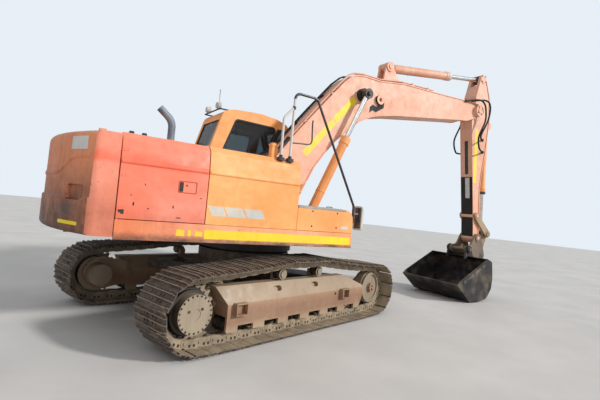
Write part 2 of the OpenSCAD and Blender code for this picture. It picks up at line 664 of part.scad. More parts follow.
// Front and rear openings lie in leaning walls: [low point, high point] on the wall's outer face
// A strip of wall between two outer face points, from depth a to depth b
cab_mid = (cab_y0 + cab_y1) / 2;
module cab_shell() {
  pane_y0 = cab_y0 + 75;
  pane_y1 = cab_y1 - 75;
  color(orange) difference() {
    union() {
      difference() {
        slab(outline(cab_side), cab_y0, cab_y1);
        slab(outline(cab_in), cab_y0 + cab_wall, cab_y1 - cab_wall);
      }
    }
    slab(outline(side_window), cab_y0 - 5, cab_y0 + cab_wall + 5);
    slab(outline(front_window), cab_y0 - 5, cab_y0 + cab_wall + 5);
    slab(outline(door_hole), cab_y1 - cab_wall - 5, cab_y1 + 5);
    slab(outline(quarter_window), cab_y1 - cab_wall - 5, cab_y1 + 5);
    slab([[772, 2990], [1040, 2990], [1260, 2030], [1080, 2030], [925, 2600]], pane_y0, pane_y1);
    slab([[1100, 1420], [1240, 1420], [1240, 1880], [1100, 1880]], pane_y0, pane_y1);
    slab([[-700, 2510], [-460, 2510], [-330, 2960], [-600, 2960]], pane_y0, pane_y1);
  }
  color(dark) hinge_pins();
}
// Door hinges: pins on the shell, knuckles on the door
hinge_x = door_hole[0].x + door_gap / 2;
hinge_y = cab_y1 + 16;
hinge_rows = [1480, 2080];
module hinge_pins() {
  for (z = hinge_rows) {
    translate([hinge_x, hinge_y, z - 34]) cylinder(h = 68, r = 7);
    for (q = [z - 58, z + 30 + seat_gap]) translate([0, 0, q]) {
      translate([hinge_x, hinge_y, 0]) cylinder(h = 28 - seat_gap, r = 13);
      block([hinge_x - 60, cab_y1 - 2, 0], [hinge_x, hinge_y + 6, 28 - seat_gap]);
    }
  }
}
module cab_glass() {
  e = seat_gap;
  y0 = cab_y0 + 75 + e;
  y1 = cab_y1 - 75 - e;
  color(glass_tint) {
    for (w = [side_window, front_window])
      slab(outline(inset(w, e)), cab_y0 + 8, cab_y0 + 8 + glass_t);
    slab(outline(inset(quarter_window, e)), cab_y1 - 8 - glass_t, cab_y1 - 8);
    intersection() {
      slab([[1158 - glass_t, 2030 + e], [1158, 2030 + e], [842, 2990 - e], [842 - glass_t, 2990 - e]], y0, y1);
      block([700, y0 - 1, 2030 + e], [1200, y1 + 1, 2990 - e]);
    }
    block([1165 - glass_t, y0, 1420 + e], [1165, y1, 1880 - e]);
    slab([[-520, 2510 + e], [-520 + glass_t, 2510 + e], [-392 + glass_t, 2960 - e], [-392, 2960 - e]], y0, y1);
  }
}
module cab_door() {
  color(dark) for (z = hinge_rows) difference() {
    translate([0, 0, z - 30 + seat_gap]) {
      translate([hinge_x, hinge_y, 0]) cylinder(h = 60 - seat_gap, r = 13);
      block([hinge_x, cab_y1 - 2, 0], [hinge_x + 70, hinge_y + 4, 60 - seat_gap]);
    }
    translate([hinge_x, hinge_y, z - 60]) cylinder(h = 120, r = 7 + run_fit);
  }
  color(orange) difference() {
    slab(outline(inset(door_hole, door_gap)), cab_y1 - cab_wall + 3, cab_y1);
    slab(outline(door_window), cab_y1 - cab_wall - 5, cab_y1 + 5);
    slab(outline(door_low_window), cab_y1 - cab_wall - 5, cab_y1 + 5);
  }
}
module cab_door_glass() {
  color(glass_tint) for (w = [door_window, door_low_window])
    slab(outline(inset(w, seat_gap)), cab_y1 - 10 - glass_t, cab_y1 - 10);
}
seat_y = cab_mid + 10;
floor_z = cab_z + cab_wall;
module seat() {
  color(dark) {
    translate([0, seat_y, floor_z + seat_gap]) {
      block([-160, -170, 0], [240, 170, 160]);
      block([-120, -130, 159], [200, 130, 300]);
      slab(outline([[-200, 299, 20], [-200, 420, 50], [330, 450, 60], [350, 330, 50], [300, 299, 20]]), -250, 250);
      slab(outline([[-200, 400, 30], [-330, 1000, 60], [-220, 1020, 60], [-70, 420, 40]]), -240, 240);
      slab(outline([[-335, 1000, 20], [-375, 1190, 50], [-275, 1210, 50], [-235, 1010, 20]]), -140, 140);
    }
  }
}
module cab_consoles() {
  color(dark) translate([0, seat_y, floor_z + seat_gap]) {
    both_sides() {
      slab(outline([[-150, 0], [-150, 560, 40], [330, 590, 60], [330, 480, 40], [180, 400, 60], [180, 0]]), 275, 385);
      rod([270, 320, 570], [290, 320, 760], 14);
      translate([290, 320, 760]) sphere(r = 30);
      rod([640, 75, 20], [600, 75, 420], 12);
      translate([600, 75, 420]) sphere(r = 24);
      block([560, 35, 0], [760, 115, 40]);
    }
  }
}
module work_lamps() {
  x = -430;
  color(dark) {
    // Bar whose ends meet the slope of the roof
    difference() {
      tube([[x + 210, 1185, 3128], [x, 1185, 3128], [x, 500, 3128], [x + 210, 500, 3128]], 12, 16);
      slab(outline(inset(cab_side, -seat_gap)), cab_y0 - 1, cab_y1 + 1);
    }
    for (y = [1090, 620]) {
      rod([x, y, 3130], [x, y, 3160], 10);
      translate([x - 20, y, 3200]) rotate([0, 90, 0]) cylinder(h = 70, r1 = 48, r2 = 62);
    }
    rod([x, 560, 3120], [x, 560, 3450], 5);
  }
}

// Work equipment
boom_box = [[-150, -170, 160], [-160, 160, 150], [784, 690, 500], [1346, 968, 400], [2001, 1285, 300],
  [2272, 1372, 260], [2509, 1310, 300], [2888, 1154, 300], [3482, 1006, 500], [4416, 658, 500],
  [boom_len - 378, 326, 300], [boom_len + 100, 130, 110], [boom_len + 150, 0, 90],
  [boom_len + 90, -140, 120], [boom_len - 443, -124, 200], [boom_len - 729, -43, 300], [3076, 453, 600],
  [2699, 529, 200], [2440, 566, 200], [2121, 542, 300], [1497, 348, 400], [1211, 205, 200], [924, 37, 200],
  [700, -156, 150]];
web_in = 14;
fork_y0 = 165;
// Depth of the slot that the arm sits in, back from the nose pin
fork_depth = 550;
fork_u = boom_len - fork_depth;
foot_half = 230;
tip_half = 280;
module boom() {
  color(faded) boom_frame() difference() {
    union() {
      slab(outline(boom_box), -boom_w / 2 + web_in, boom_w / 2 - web_in);
      band(outline(boom_box), outline(inset(boom_box, 18)), -boom_w / 2, boom_w / 2);
      pin([0, 0], 165, -foot_half, foot_half);
      pin([boom_len, 0], 128, -tip_half, tip_half);
      pin(lift_eye, 115, -292, 292);
      pin([2730, 823], 88, -250, 250);
      both_sides() {
        slab(outline([[3020, 1100], [3210, 1400, 110], [3290, 1480, 100], [3385, 1440, 95], [3495, 960]]), 66, 106);
        pin(crowd_foot, 95, 62, 125);
      }
      pin(crowd_foot, main_pin_r, -140, 140);
      // Nose pin with its heads
      pin([boom_len, 0], main_pin_r + 20, -tip_half - 14, tip_half + 14);
    }
    pin([0, 0], main_pin_r + run_fit, -400, 400);
    pin([2730, 823], 38, -400, 400);
    // Slot for the arm
    difference() {
      slab([[fork_u, -600], [fork_u, 800], [boom_len + 500, 800], [boom_len + 500, -600]], -fork_y0, fork_y0);
      pin([boom_len, 0], main_pin_r, -400, 400);
    }
  }
}
// Oil pipes along the top of the boom, [along, above], and their clamps [along, above, slope]
pipe_line = [[620, 628], [1346, 1003], [2001, 1322], [2272, 1410], [2509, 1349], [2888, 1193], [3482, 1045],
  [4350, 722]];
clamp_x = [1000, 1700, 3720, 4150];
boom_top = [for (i = [1:11]) [boom_box[i].x, boom_box[i].y]];
function top_slope(x) = atan((lookup(x + 1, boom_top) - lookup(x - 1, boom_top)) / 2);
module boom_pipes() {
  color(dark) boom_frame() both_sides() {
    for (y = [128, 172]) tube([for (p = pipe_line) [p.x, y, p.y]], 13, 260);
    for (x = clamp_x) translate([x, 98, lookup(x, boom_top)]) rotate([0, -top_slope(x), 0])
      translate([-25, 0, seat_gap]) cube([50, 104, 33]);
  }
}
arm_box = [[-130, -120, 110], [-160, 20, 80], [-363, 43, 80], [-504, 114, 100], [-840, 262, 80],
  [-885, 400, 90], [-760, 452, 80], [-350, 575, 300], [150, 570, 300], [940, 390, 500], [1480, 230, 400],
  [1790, 165, 300], [arm_len - 20, 112, 100], [arm_len + 116, 60, 90], [arm_len + 116, -80, 90],
  [arm_len - 20, -112, 100], [arm_len - 320, -105, 300],
  [300, -128, 300]];
head_gap = 85;
// Foot eye of the bucket cylinder's barrel
curl_eye_r = 84;
curl_half = 52;
pin_out_y = 225;
module arm() {
  half = arm_w / 2;
  color(faded) arm_frame() difference() {
    union() {
      slab(outline(arm_box), -half + web_in, half - web_in);
      band(outline(arm_box), outline(inset(arm_box, 16)), -half, half);
      pin([0, 0], 150, -half, half);
      pin(head_pin, 100, -half, half);
      pin(rocker_pin, 85, -half, half);
      pin(end_pin, 114, -half, half);
      both_sides() {
        slab(outline([[60, 520], [190, 640, 100], [250, 712, 90], [365, 700, 80], [425, 470]]), 62, 98);
        pin(curl_foot, 92, 60, 112);
      }
      pin(rocker_pin, end_pin_r, -pin_out_y, pin_out_y);
      pin(end_pin, end_pin_r, -pin_out_y, pin_out_y);
    }
    pin([0, 0], main_pin_r + run_fit, -400, 400);
    // Slot between the head's ears, open to the cylinder
    slab([[-1000, 60], [-620, 60], [-560, 700], [-1000, 700]], -head_gap, head_gap);
    // Hollow under the bucket cylinder's foot eye
    pin(curl_foot, curl_eye_r + 8, -curl_half - 6, curl_half + 6);
  }
  color(faded) arm_frame() pin(curl_foot, end_pin_r, -125, 125);
}
// Barrel of a cylinder along +X from its foot eye
module barrel(len, r, bore, eye_r, half, pin_r, neck) {
  difference() {
    union() {
      pin([0, 0], eye_r, -half, half);
      translate([0, 0, 0]) block([0, -half, -r * 0.8], [neck + 2, half, r * 0.8]);
      rod([neck, 0, 0], [len, 0, 0], r);
      rod([len - 110, 0, 0], [len, 0, 0], r + 7);
    }
    pin([0, 0], pin_r + run_fit, -half - 1, half + 1);
    rod([neck + 30, 0, 0], [len + 1, 0, 0], bore + run_fit);
  }
}
// Rod with its eye at x = 0, reaching back along -X
module piston_rod(len, r, eye_r, half) {
  pin([0, 0], eye_r, -half, half);
  rod([-len, 0, 0], [-eye_r * 0.7, 0, 0], r);
}
module in_plane(a, b) {
  translate([a.x, 0, a.y]) rotate([0, -angle_of(b - a), 0]) children();
}
lift_head = in_boom(lift_eye);
crowd_a = in_boom(crowd_foot);
crowd_b = in_arm(head_pin);
curl_a = in_arm(curl_foot);
curl_b = in_arm(joint_pin);
module boom_cylinder_barrels() {
  color(faded) for (s = [-1, 1]) translate([0, s * lift_y, 0]) in_plane(lift_foot, lift_head)
    barrel(1640, lift_r, lift_rod_r, 84, 55, 38, 150);
}
module boom_cylinder_rods() {
  color(steel) for (s = [-1, 1]) translate([0, s * lift_y, 0]) in_plane(lift_head, 2 * lift_head - lift_foot) {
    piston_rod(1620, lift_rod_r, 92, 55);
    pin([0, 0], 40, min(s * 54, s * 92), max(s * 54, s * 92));
  }
}
module arm_cylinder_barrel() {
  color(faded) in_plane(crowd_a, crowd_b) barrel(1930, crowd_r, crowd_rod_r, 92, 55, main_pin_r, 165);
}
module arm_cylinder_rod() {
  color(steel) in_plane(crowd_b, 2 * crowd_b - crowd_a) piston_rod(1900, crowd_rod_r, 96, 60);
}
module bucket_cylinder_barrel() {
  color(faded) in_plane(curl_a, curl_b) barrel(1620, curl_r, curl_rod_r, curl_eye_r, curl_half, end_pin_r, 150);
}
module bucket_cylinder_rod() {
  color(steel) in_plane(curl_b, 2 * curl_b - curl_a) piston_rod(1420, curl_rod_r, 84, 50);
}
link_y0 = 60;
link_y1 = 150;
plate_y0 = 165;
plate_y1 = 205;
module rocker_links() {
  color(faded) both_sides() difference() {
    union() {
      slab(strap(in_arm(rocker_pin), 72, curl_b, 80), plate_y0, plate_y1);
      pin(curl_b, 60, plate_y0, pin_out_y);
    }
    pin(in_arm(rocker_pin), end_pin_r + run_fit, 100, 300);
  }
}
module power_link() {
  b = curl_b;
  l = in_arm(link_pin);
  color(faded) difference() {
    union() {
      both_sides() {
        slab(strap(b, 70, l, 76), link_y0 + 15, link_y1 - 15);
        pin(b, 70, link_y0, link_y1);
      }
      pin(l, 78, -arm_w / 2, arm_w / 2);
      in_plane(l, b) block([110, -link_y1 + 16, -30], [300, link_y1 - 16, 30]);
    }
    pin(l, end_pin_r + run_fit, -300, 300);
  }
}
hitch_side = [[5775, 1440, 100], [5950, 1440, 100], [6150, 985, 85], [6130, 865, 80], [5960, 850, 60],
  [5900, 695, 70], [5760, 680, 70], [5650, 905, 60], [5400, 1010, 70], [5400, 1140, 80], [5620, 1170, 120]];
// The hitch and bucket are drawn with the arm's end pin at this place, and move with it
tool_shift = in_arm(end_pin) - [5854.38, 1346.25];
module at_tool() {
  translate([tool_shift.x, 0, tool_shift.y]) children();
}
module quick_hitch() {
  e = in_arm(end_pin) - tool_shift;
  l = in_arm(link_pin) - tool_shift;
  color(weight_brown) at_tool() difference() {
    union() {
      both_sides() {
        slab(outline(hitch_side), plate_y0, plate_y1);
        pin(e, 92, plate_y0, pin_out_y - 4);
        pin(l, 80, plate_y0, plate_y1 + 8);
      }
      slab(outline([[5500, 1030, 30], [5600, 1100, 40], [5850, 850, 40], [5780, 740, 30]]), -plate_y0 - 2,
        plate_y0 + 2);
      pin(l, end_pin_r, -pin_out_y, pin_out_y);
      for (p = [front_hook, rear_hook]) pin(p, hook_pin_r, -300, 300);
    }
    both_sides() pin(e, end_pin_r + run_fit, 150, 300);
  }
}
shell = [[4475, 380], [4567, 460], [5475, 929], [5644, 866, 60], [5704, 528, 250], [5682, 282, 150],
  [5523, 72, 150], [5276, 22, 150], [4940, 22, 100]];
shell_in = inset(shell, shell_t);
lip = [shell[0].x, shell[0].y];
sole = [shell[8].x, shell[8].y];
lip_d = unit(sole - lip);
top_d = unit([shell[2].x - shell[3].x, shell[2].y - shell[3].y]);
hollow = outline(concat(
  [lip + turn_left(lip_d) * lip_t - lip_d * 60, [4300, 800], [5300, 1400],
    [shell_in[3].x, shell_in[3].y] + top_d * 240],
  [for (i = [3:8]) shell_in[i]]
));
ear = [[5370, 860], [5395, 1120, 75], [5440, 1165, 80], [5560, 1150, 80], [5640, 950, 100], [5760, 850, 60],
  [5880, 850, 80], [5915, 730, 80], [5830, 670, 80], [5700, 590, 60], [5660, 560], [5600, 860]];
module bucket() {
  half = bucket_w / 2;
  color(dark) at_tool() difference() {
    union() {
      difference() {
        slab(outline(shell), -half, half);
        slab(hollow, -half + shell_t, half - shell_t);
      }
      both_sides() {
        slab(outline(ear), 215, 250);
        for (p = [front_hook, rear_hook]) pin(p, 72, 214, 285);
      }
    }
    for (p = [front_hook, rear_hook]) both_sides() pin(p, hook_pin_r + run_fit, 100, 400);
  }
}

module track_frame_left() { track_frame(1); }
module track_frame_right() { track_frame(-1); }
module track_left() { at_track(1) track(); }
module track_right() { at_track(-1) track(); }
module final_drive_left() { final_drive(1); }
module final_drive_right() { final_drive(-1); }
module idler_left() { idler(1); }
module idler_right() { idler(-1); }
module rollers_left() { rollers(1); }
module rollers_right() { rollers(-1); }

car_body();
swing_ring();
track_frame_left();
track_frame_right();
track_left();
track_right();
final_drive_left();
final_drive_right();
idler_left();
idler_right();
rollers_left();
rollers_right();
swing_frame();
counterweight();
engine();
house_panels();
tank();
toolbox();
side_cover();
cab_shell();
cab_glass();
seat();
cab_consoles();
handrails();
exhaust();
work_lamps();
side_mirror();
engine_hood();
pump_door();
radiator_door();
toolbox_lid();
cab_door();
cab_door_glass();
boom();
boom_pipes();
boom_cylinder_barrels();
boom_cylinder_rods();
arm_cylinder_barrel();
arm_cylinder_rod();
arm();
bucket_cylinder_barrel();
bucket_cylinder_rod();
rocker_links();
power_link();
quick_hitch();
bucket();
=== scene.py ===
"""Dresses the crawler excavator: materials, small parts, camera, light and floor, around the fixed frame."""
import json
import math
import random

import bmesh
import bpy
from mathutils import Matrix, Vector
from mathutils.bvhtree import BVHTree


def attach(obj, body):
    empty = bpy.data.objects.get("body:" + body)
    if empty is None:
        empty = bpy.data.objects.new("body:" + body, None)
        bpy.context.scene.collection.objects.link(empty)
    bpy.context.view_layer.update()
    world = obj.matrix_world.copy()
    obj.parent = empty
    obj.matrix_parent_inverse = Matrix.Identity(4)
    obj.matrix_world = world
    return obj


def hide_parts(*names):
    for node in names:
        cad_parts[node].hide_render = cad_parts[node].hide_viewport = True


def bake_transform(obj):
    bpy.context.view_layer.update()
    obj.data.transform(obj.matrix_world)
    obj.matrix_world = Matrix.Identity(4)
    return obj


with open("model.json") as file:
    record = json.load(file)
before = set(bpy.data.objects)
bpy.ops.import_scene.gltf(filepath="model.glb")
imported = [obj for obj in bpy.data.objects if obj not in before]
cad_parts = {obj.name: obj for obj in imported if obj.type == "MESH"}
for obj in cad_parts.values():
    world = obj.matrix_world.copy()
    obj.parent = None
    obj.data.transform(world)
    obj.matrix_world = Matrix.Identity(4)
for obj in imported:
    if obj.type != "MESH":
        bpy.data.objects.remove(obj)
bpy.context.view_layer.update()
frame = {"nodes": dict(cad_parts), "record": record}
NODES = frame["nodes"]
scene = bpy.context.scene

# Places in metres, in the frame of the part
PANEL_Y = 1.353
SKIRT_TOP = 1.34
RAIL_Y = -1.3
# Start of the rays that lay a film on a side of the machine
OUTSIDE = 1.7
SIDES = ((-1, "right"), (1, "left"))


# Materials

def srgb(r, g, b):
    """The linear values that shaders take, for a colour as it looks on a screen, 0 to 255"""
    def one(c):
        c = c / 255
        return c / 12.92 if c <= 0.04045 else ((c + 0.055) / 1.055) ** 2.4
    return (one(r), one(g), one(b), 1.0)


class Shade:
    """A small builder for node materials. Colours are given as three screen values"""

    def __init__(self, name, rough=0.5, metal=0.0):
        self.mat = bpy.data.materials.new(name)
        self.mat.use_nodes = True
        self.tree = self.mat.node_tree
        self.bsdf = self.tree.nodes["Principled BSDF"]
        self.bsdf.inputs["Roughness"].default_value = rough
        self.bsdf.inputs["Metallic"].default_value = metal
        self.place = self.node("ShaderNodeTexCoord").outputs["Object"]

    def node(self, kind, **values):
        n = self.tree.nodes.new(kind)
        for key, value in values.items():
            setattr(n, key, value)
        return n

    def link(self, a, b):
        self.tree.links.new(a, b)

    def stretched(self, x, y, z):
        n = self.node("ShaderNodeMapping")
        n.inputs["Scale"].default_value = (x, y, z)
        self.link(self.place, n.inputs["Vector"])
        return n.outputs["Vector"]

    def noise(self, scale, detail=4.0, rough=0.55, at=None):
        n = self.node("ShaderNodeTexNoise")
        n.inputs["Scale"].default_value = scale
        n.inputs["Detail"].default_value = detail
        n.inputs["Roughness"].default_value = rough
        self.link(at or self.place, n.inputs["Vector"])
        return n.outputs["Fac"]

    def ramp(self, value, *stops):
        n = self.node("ShaderNodeValToRGB")
        while len(n.color_ramp.elements) < len(stops):
            n.color_ramp.elements.new(0.5)
        for e, (at, c) in zip(n.color_ramp.elements, stops):
            e.position = at
            e.color = (c, c, c, 1.0)
        self.link(value, n.inputs["Fac"])
        return n.outputs["Color"]

    def mix(self, fac, a, b):
        n = self.node("ShaderNodeMix", data_type="RGBA")
        for socket, value in ((n.inputs["Factor"], fac), (n.inputs["A"], a), (n.inputs["B"], b)):
            self.put(socket, value)
        return n.outputs["Result"]

    def math(self, op, a, b):
        n = self.node("ShaderNodeMath", operation=op)
        self.put(n.inputs[0], a)
        self.put(n.inputs[1], b)
        return n.outputs[0]

    def put(self, socket, value):
        if isinstance(value, bpy.types.NodeSocket):
            self.link(value, socket)
        elif isinstance(value, tuple) and len(value) == 3:
            socket.default_value = srgb(*value)
        else:
            socket.default_value = value

    def axis(self, which):
        n = self.node("ShaderNodeSeparateXYZ")
        self.link(self.place, n.inputs["Vector"])
        return n.outputs["XYZ".index(which)]

    def zone(self, which, a, b, c, d):
        """A mask along an axis that rises from a to b and falls from c to d, with a ragged edge"""
        along = self.math("DIVIDE", self.math("SUBTRACT", self.axis(which), a), d - a)
        ragged = self.math("MULTIPLY", self.math("SUBTRACT", self.noise(5.0, 9.0, 0.72), 0.5), 0.22)
        stops = ((0.0, 0.0), ((b - a) / (d - a), 1.0), ((c - a) / (d - a), 1.0), (1.0, 0.0))
        return self.ramp(self.math("ADD", along, ragged), *stops)

    def facing_up(self):
        g = self.node("ShaderNodeNewGeometry")
        n = self.node("ShaderNodeSeparateXYZ")
        self.link(g.outputs["Normal"], n.inputs["Vector"])
        return n.outputs["Z"]

    def bump(self, height, strength, distance):
        n = self.node("ShaderNodeBump")
        n.inputs["Strength"].default_value = strength
        n.inputs["Distance"].default_value = distance
        self.link(height, n.inputs["Height"])
        self.link(n.outputs["Normal"], self.bsdf.inputs["Normal"])

    def done(self, colour, rough=None):
        self.put(self.bsdf.inputs["Base Color"], colour)
        if rough is not None:
            self.put(self.bsdf.inputs["Roughness"], rough)
        return self.mat


RUST = (104, 58, 36)
DUST = (176, 152, 122)
GRIME = (66, 52, 44)


def worn_paint(name, base, faded, streak=0.35, chips=0.5, dust=0.35, rust=RUST, zones=()):
    """Sun-faded machine paint with run-off streaks, dust on top faces, and chips down to rust.
    A zone is an axis, four places along it, an amount and a tint"""
    s = Shade(name)
    colour = s.mix(s.ramp(s.noise(1.3, 5.0, 0.6), (0.35, 0.0), (0.68, 1.0)), base, faded)
    fine = s.ramp(s.noise(9.0, 6.0, 0.7), (0.42, 0.0), (0.75, 0.55))
    colour = s.mix(fine, colour, tuple(c * 0.78 for c in srgb(*base)[:3]) + (1.0,))
    runs = s.noise(1.0, 6.0, 0.65, at=s.stretched(16.0, 16.0, 0.9))
    colour = s.mix(s.math("MULTIPLY", s.ramp(runs, (0.52, 0.0), (0.78, 1.0)), streak), colour, GRIME)
    top = s.math("MULTIPLY", s.ramp(s.facing_up(), (0.3, 0.0), (0.95, 1.0)), s.noise(5.0, 5.0))
    colour = s.mix(s.math("MULTIPLY", top, dust * 1.6), colour, DUST)
    for which, a, b, c, d, amount, tint in zones:
        spots = s.ramp(s.noise(3.2, 9.0, 0.75), (0.3, 0.35), (0.62, 1.0))
        part = s.math("MULTIPLY", s.math("MULTIPLY", s.zone(which, a, b, c, d), spots), amount)
        colour = s.mix(part, colour, tint)
    flecks = s.ramp(s.noise(34.0, 8.0, 0.75), (0.665 - 0.06 * chips, 0.0), (0.69 - 0.06 * chips, 1.0))
    patches = s.ramp(s.noise(2.4, 4.0, 0.6), (0.5 - 0.08 * chips, 0.0), (0.66 - 0.08 * chips, 1.0))
    chip = s.math("MULTIPLY", s.math("MULTIPLY", flecks, patches), chips)
    colour = s.mix(chip, colour, rust)
    rough = s.ramp(s.noise(7.0, 5.0), (0.3, 0.42), (0.7, 0.68))
    s.bump(s.noise(60.0, 6.0, 0.7), 0.12, 0.004)
    return s.done(colour, rough)


def bare_steel(name, dark, light, dusty, scale=6.0, metal=0.55):
    """Worn, dusty, bare or thinly painted steel."""
    s = Shade(name, metal=metal)
    colour = s.mix(s.ramp(s.noise(scale, 7.0, 0.65), (0.35, 0.0), (0.65, 1.0)), dark, light)
    colour = s.mix(s.ramp(s.noise(scale * 0.5, 8.0, 0.7), (0.48, 0.0), (0.66, dusty)), colour, DUST)
    colour = s.mix(s.ramp(s.noise(scale * 4.0, 6.0, 0.7), (0.58, 0.0), (0.7, 0.5)), colour, RUST)
    s.bump(s.noise(scale * 12.0, 6.0, 0.7), 0.3, 0.004)
    return s.done(colour, s.ramp(s.noise(scale * 2.0), (0.3, 0.45), (0.7, 0.85)))


def plain(name, colour, rough=0.5, metal=0.0, grain=0.0):
    """One colour, a little mottled."""
    s = Shade(name, rough, metal)
    shade = s.mix(s.ramp(s.noise(12.0, 5.0), (0.3, 0.0), (0.7, 1.0)), colour,
                  tuple(min(1.0, c * 1.35 + 0.004) for c in srgb(*colour)[:3]) + (1.0,))
    if grain:
        s.bump(s.noise(180.0, 3.0), grain, 0.002)
    return s.done(shade)


def glass(name):
    s = Shade(name, rough=0.08)
    dirt = s.ramp(s.noise(5.0, 6.0, 0.6), (0.35, 0.0), (0.85, 0.45))
    s.bsdf.inputs["Transmission Weight"].default_value = 0.93
    s.bsdf.inputs["IOR"].default_value = 1.2
    return s.done(s.mix(dirt, (136, 150, 156), (150, 142, 126)))


ORANGE = worn_paint("orange_paint", (242, 154, 80), (248, 178, 108), streak=0.1, chips=0.25)
# The red-orange band from 1.88 to 2.06 up is painted shade along the fold
SALMON = worn_paint("salmon_paint", (244, 122, 90), (248, 150, 126), streak=0.08, chips=0.6,
                    zones=[("Z", 0.5, 0.6, 1.37, 1.52, 0.35, (170, 84, 60)),
                           ("Z", 1.88, 1.925, 1.96, 2.06, 0.75, (236, 84, 46))])
SKIRT = worn_paint("skirt_paint", (242, 152, 96), (248, 176, 132), streak=0.15, chips=1.0, zones=[
    ("X", -4.0, -3.9, -1.6, -0.9, 0.62, (212, 92, 56)), ("Z", 0.5, 0.6, 1.14, 1.215, 0.9, GRIME)])
FADED = worn_paint("faded_paint", (226, 162, 130), (234, 186, 160), streak=0.1, chips=0.35)
BARREL = worn_paint("barrel_paint", (238, 152, 84), (246, 178, 116), streak=0.2, chips=0.6)
WEIGHT = worn_paint("weight_paint", (232, 146, 100), (206, 124, 78), streak=0.6, chips=1.0, zones=[
    ("Z", 1.0, 1.2, 1.6, 2.2, 0.55, (176, 92, 50)), ("Z", 0.9, 1.0, 1.42, 1.86, 0.95, GRIME),
    ("Z", 0.9, 1.0, 1.12, 1.3, 0.6, (40, 32, 28))])
# The red-orange band from 1.88 to 2.06 up is painted shade along the fold
WEIGHT_SIDE = worn_paint("weight_side_paint", (236, 136, 106), (242, 164, 140), streak=0.2, chips=1.0,
                         zones=[("Z", 0.9, 1.0, 1.35, 1.75, 0.6, (150, 78, 50)),
                                ("Z", 1.88, 1.925, 1.96, 2.06, 0.7, (232, 84, 46))])
HITCH = worn_paint("hitch_paint", (176, 150, 118), (128, 104, 78), streak=0.6, chips=1.0)
# A darker copy of the hitch paint for the quick hitch: painted shade
HITCH_SHADED = worn_paint("hitch_shaded_paint", (128, 110, 88), (88, 76, 64), streak=0.6, chips=1.0)
FRAME_PAINT = worn_paint("frame_paint", (170, 146, 118), (146, 122, 98), streak=0.25, chips=0.8,
                         dust=0.5,
                         zones=[("Z", 0.19, 0.27, 0.43, 0.5, 0.65, (164, 108, 78)),
                                ("Z", 0.19, 0.27, 0.36, 0.47, 0.5, (104, 76, 60))])
DRIVE = worn_paint("drive_paint", (164, 148, 124), (134, 118, 98), streak=0.3, chips=0.6, dust=0.5)
LATCH = worn_paint("latch_paint", (196, 84, 62), (176, 72, 54), streak=0.2)
RAIL = plain("rail_paint", (62, 60, 60), 0.32, 0.5, grain=0.1)
YELLOW = worn_paint("yellow_tape", (246, 216, 16), (240, 202, 48), streak=0.1, chips=0.9, dust=0.15,
                    rust=(240, 160, 104))
OLD_YELLOW = worn_paint("old_tape", (248, 216, 40), (240, 204, 90), streak=0.3, chips=1.0,
                        rust=(240, 178, 140))
PALE = worn_paint("pale_film", (214, 208, 200), (190, 184, 176), streak=0.2, chips=0.5)
GREY_FILM = worn_paint("grey_film", (190, 188, 180), (216, 204, 184), streak=0.1, chips=0.9,
                       rust=(244, 176, 108))
TIPS = bare_steel("worn_tips", (132, 118, 102), (178, 162, 140), 0.6, metal=0.2)
LENS = glass("lamp_lens")
# Dark paint, also laid as painted shade on the side walls of the drive drums
DARK_PAINT_AND_SHADE = worn_paint("dark_paint", (52, 46, 42), (74, 64, 56), dust=0.8)
# Old grease; the same dark also stands for painted shade in seams, recesses and cast shadows
GREASE_AND_SHADE = plain("old_grease_and_shade", (26, 20, 16), 0.7, grain=0.8)
TREAD = worn_paint("tread_plate", (150, 144, 136), (182, 176, 166), chips=0.3)
TRACK = bare_steel("track_steel", (76, 66, 60), (106, 92, 80), 0.25, scale=14.0, metal=0.2)
TRACK_IN = bare_steel("track_dusty", (128, 112, 92), (162, 146, 122), 0.5, scale=9.0, metal=0.1)
DARK_STEEL = bare_steel("dark_steel", (40, 36, 34), (70, 62, 56), 0.5)
BUCKET = bare_steel("bucket_steel", (36, 34, 35), (58, 55, 53), 0.25, metal=0.35)
EDGE_STEEL = bare_steel("worn_edge", (70, 66, 64), (110, 104, 98), 0.2, metal=0.6)
PIPE = bare_steel("exhaust_steel", (88, 98, 112), (142, 150, 158), 0.12, metal=0.4)
CHROME = plain("rod_chrome", (206, 206, 204), 0.18, 0.95)
MIRROR = plain("mirror_glass", (84, 92, 98), 0.12, 0.6)
GLASS = glass("window_glass")
RUBBER = plain("rubber", (24, 24, 25), 0.75, grain=0.2)
PLASTIC = plain("dark_plastic", (30, 30, 31), 0.6, grain=0.2)
FABRIC = plain("seat_fabric", (38, 38, 42), 0.9, grain=0.6)
IRON = plain("engine_iron", (78, 78, 76), 0.7, 0.4, grain=0.4)
BY_SLOT = {
    "orange_paint": ORANGE, "salmon_paint": SALMON, "faded_paint": FADED, "weight_paint": WEIGHT,
    "hitch_paint": HITCH, "dark_paint": DARK_PAINT_AND_SHADE, "tread_plate": TREAD, "track_steel": TRACK,
    "dark_steel": DARK_STEEL, "bucket_steel": BUCKET, "exhaust_steel": PIPE, "rod_chrome": CHROME,
    "window_glass": GLASS, "dark_plastic": PLASTIC, "seat_fabric": FABRIC, "engine_iron": IRON,
}
BY_NODE = {
    "track_frame_left": FRAME_PAINT, "track_frame_right": FRAME_PAINT, "final_drive_left": DRIVE,
    "final_drive_right": DRIVE, "idler_left": DRIVE, "idler_right": DRIVE, "handrails": RAIL,
    "boom_cylinder_barrels": BARREL, "bucket_cylinder_barrel": BARREL, "quick_hitch": HITCH_SHADED,
    "rocker_links": HITCH, "power_link": HITCH, "side_mirror": PALE,
}
for entry in frame["record"]["subparts"]:
    node = NODES[entry["node"]]
    node.data.materials.clear()
    node.data.materials.append(BY_NODE.get(entry["node"], BY_SLOT[entry["material_slot"]]))


# Camera, fitted to the photograph: place, bearing from +X, rise, roll, and focal length in pixels

CAMERA_AT = Vector((-2.846, -5.797, 1.592))
BEARING, RISE, ROLL = (math.radians(a) for a in (56.676, 1.485, 5.418))
FOCAL_PX = 406.1
FRAME_PX = 600


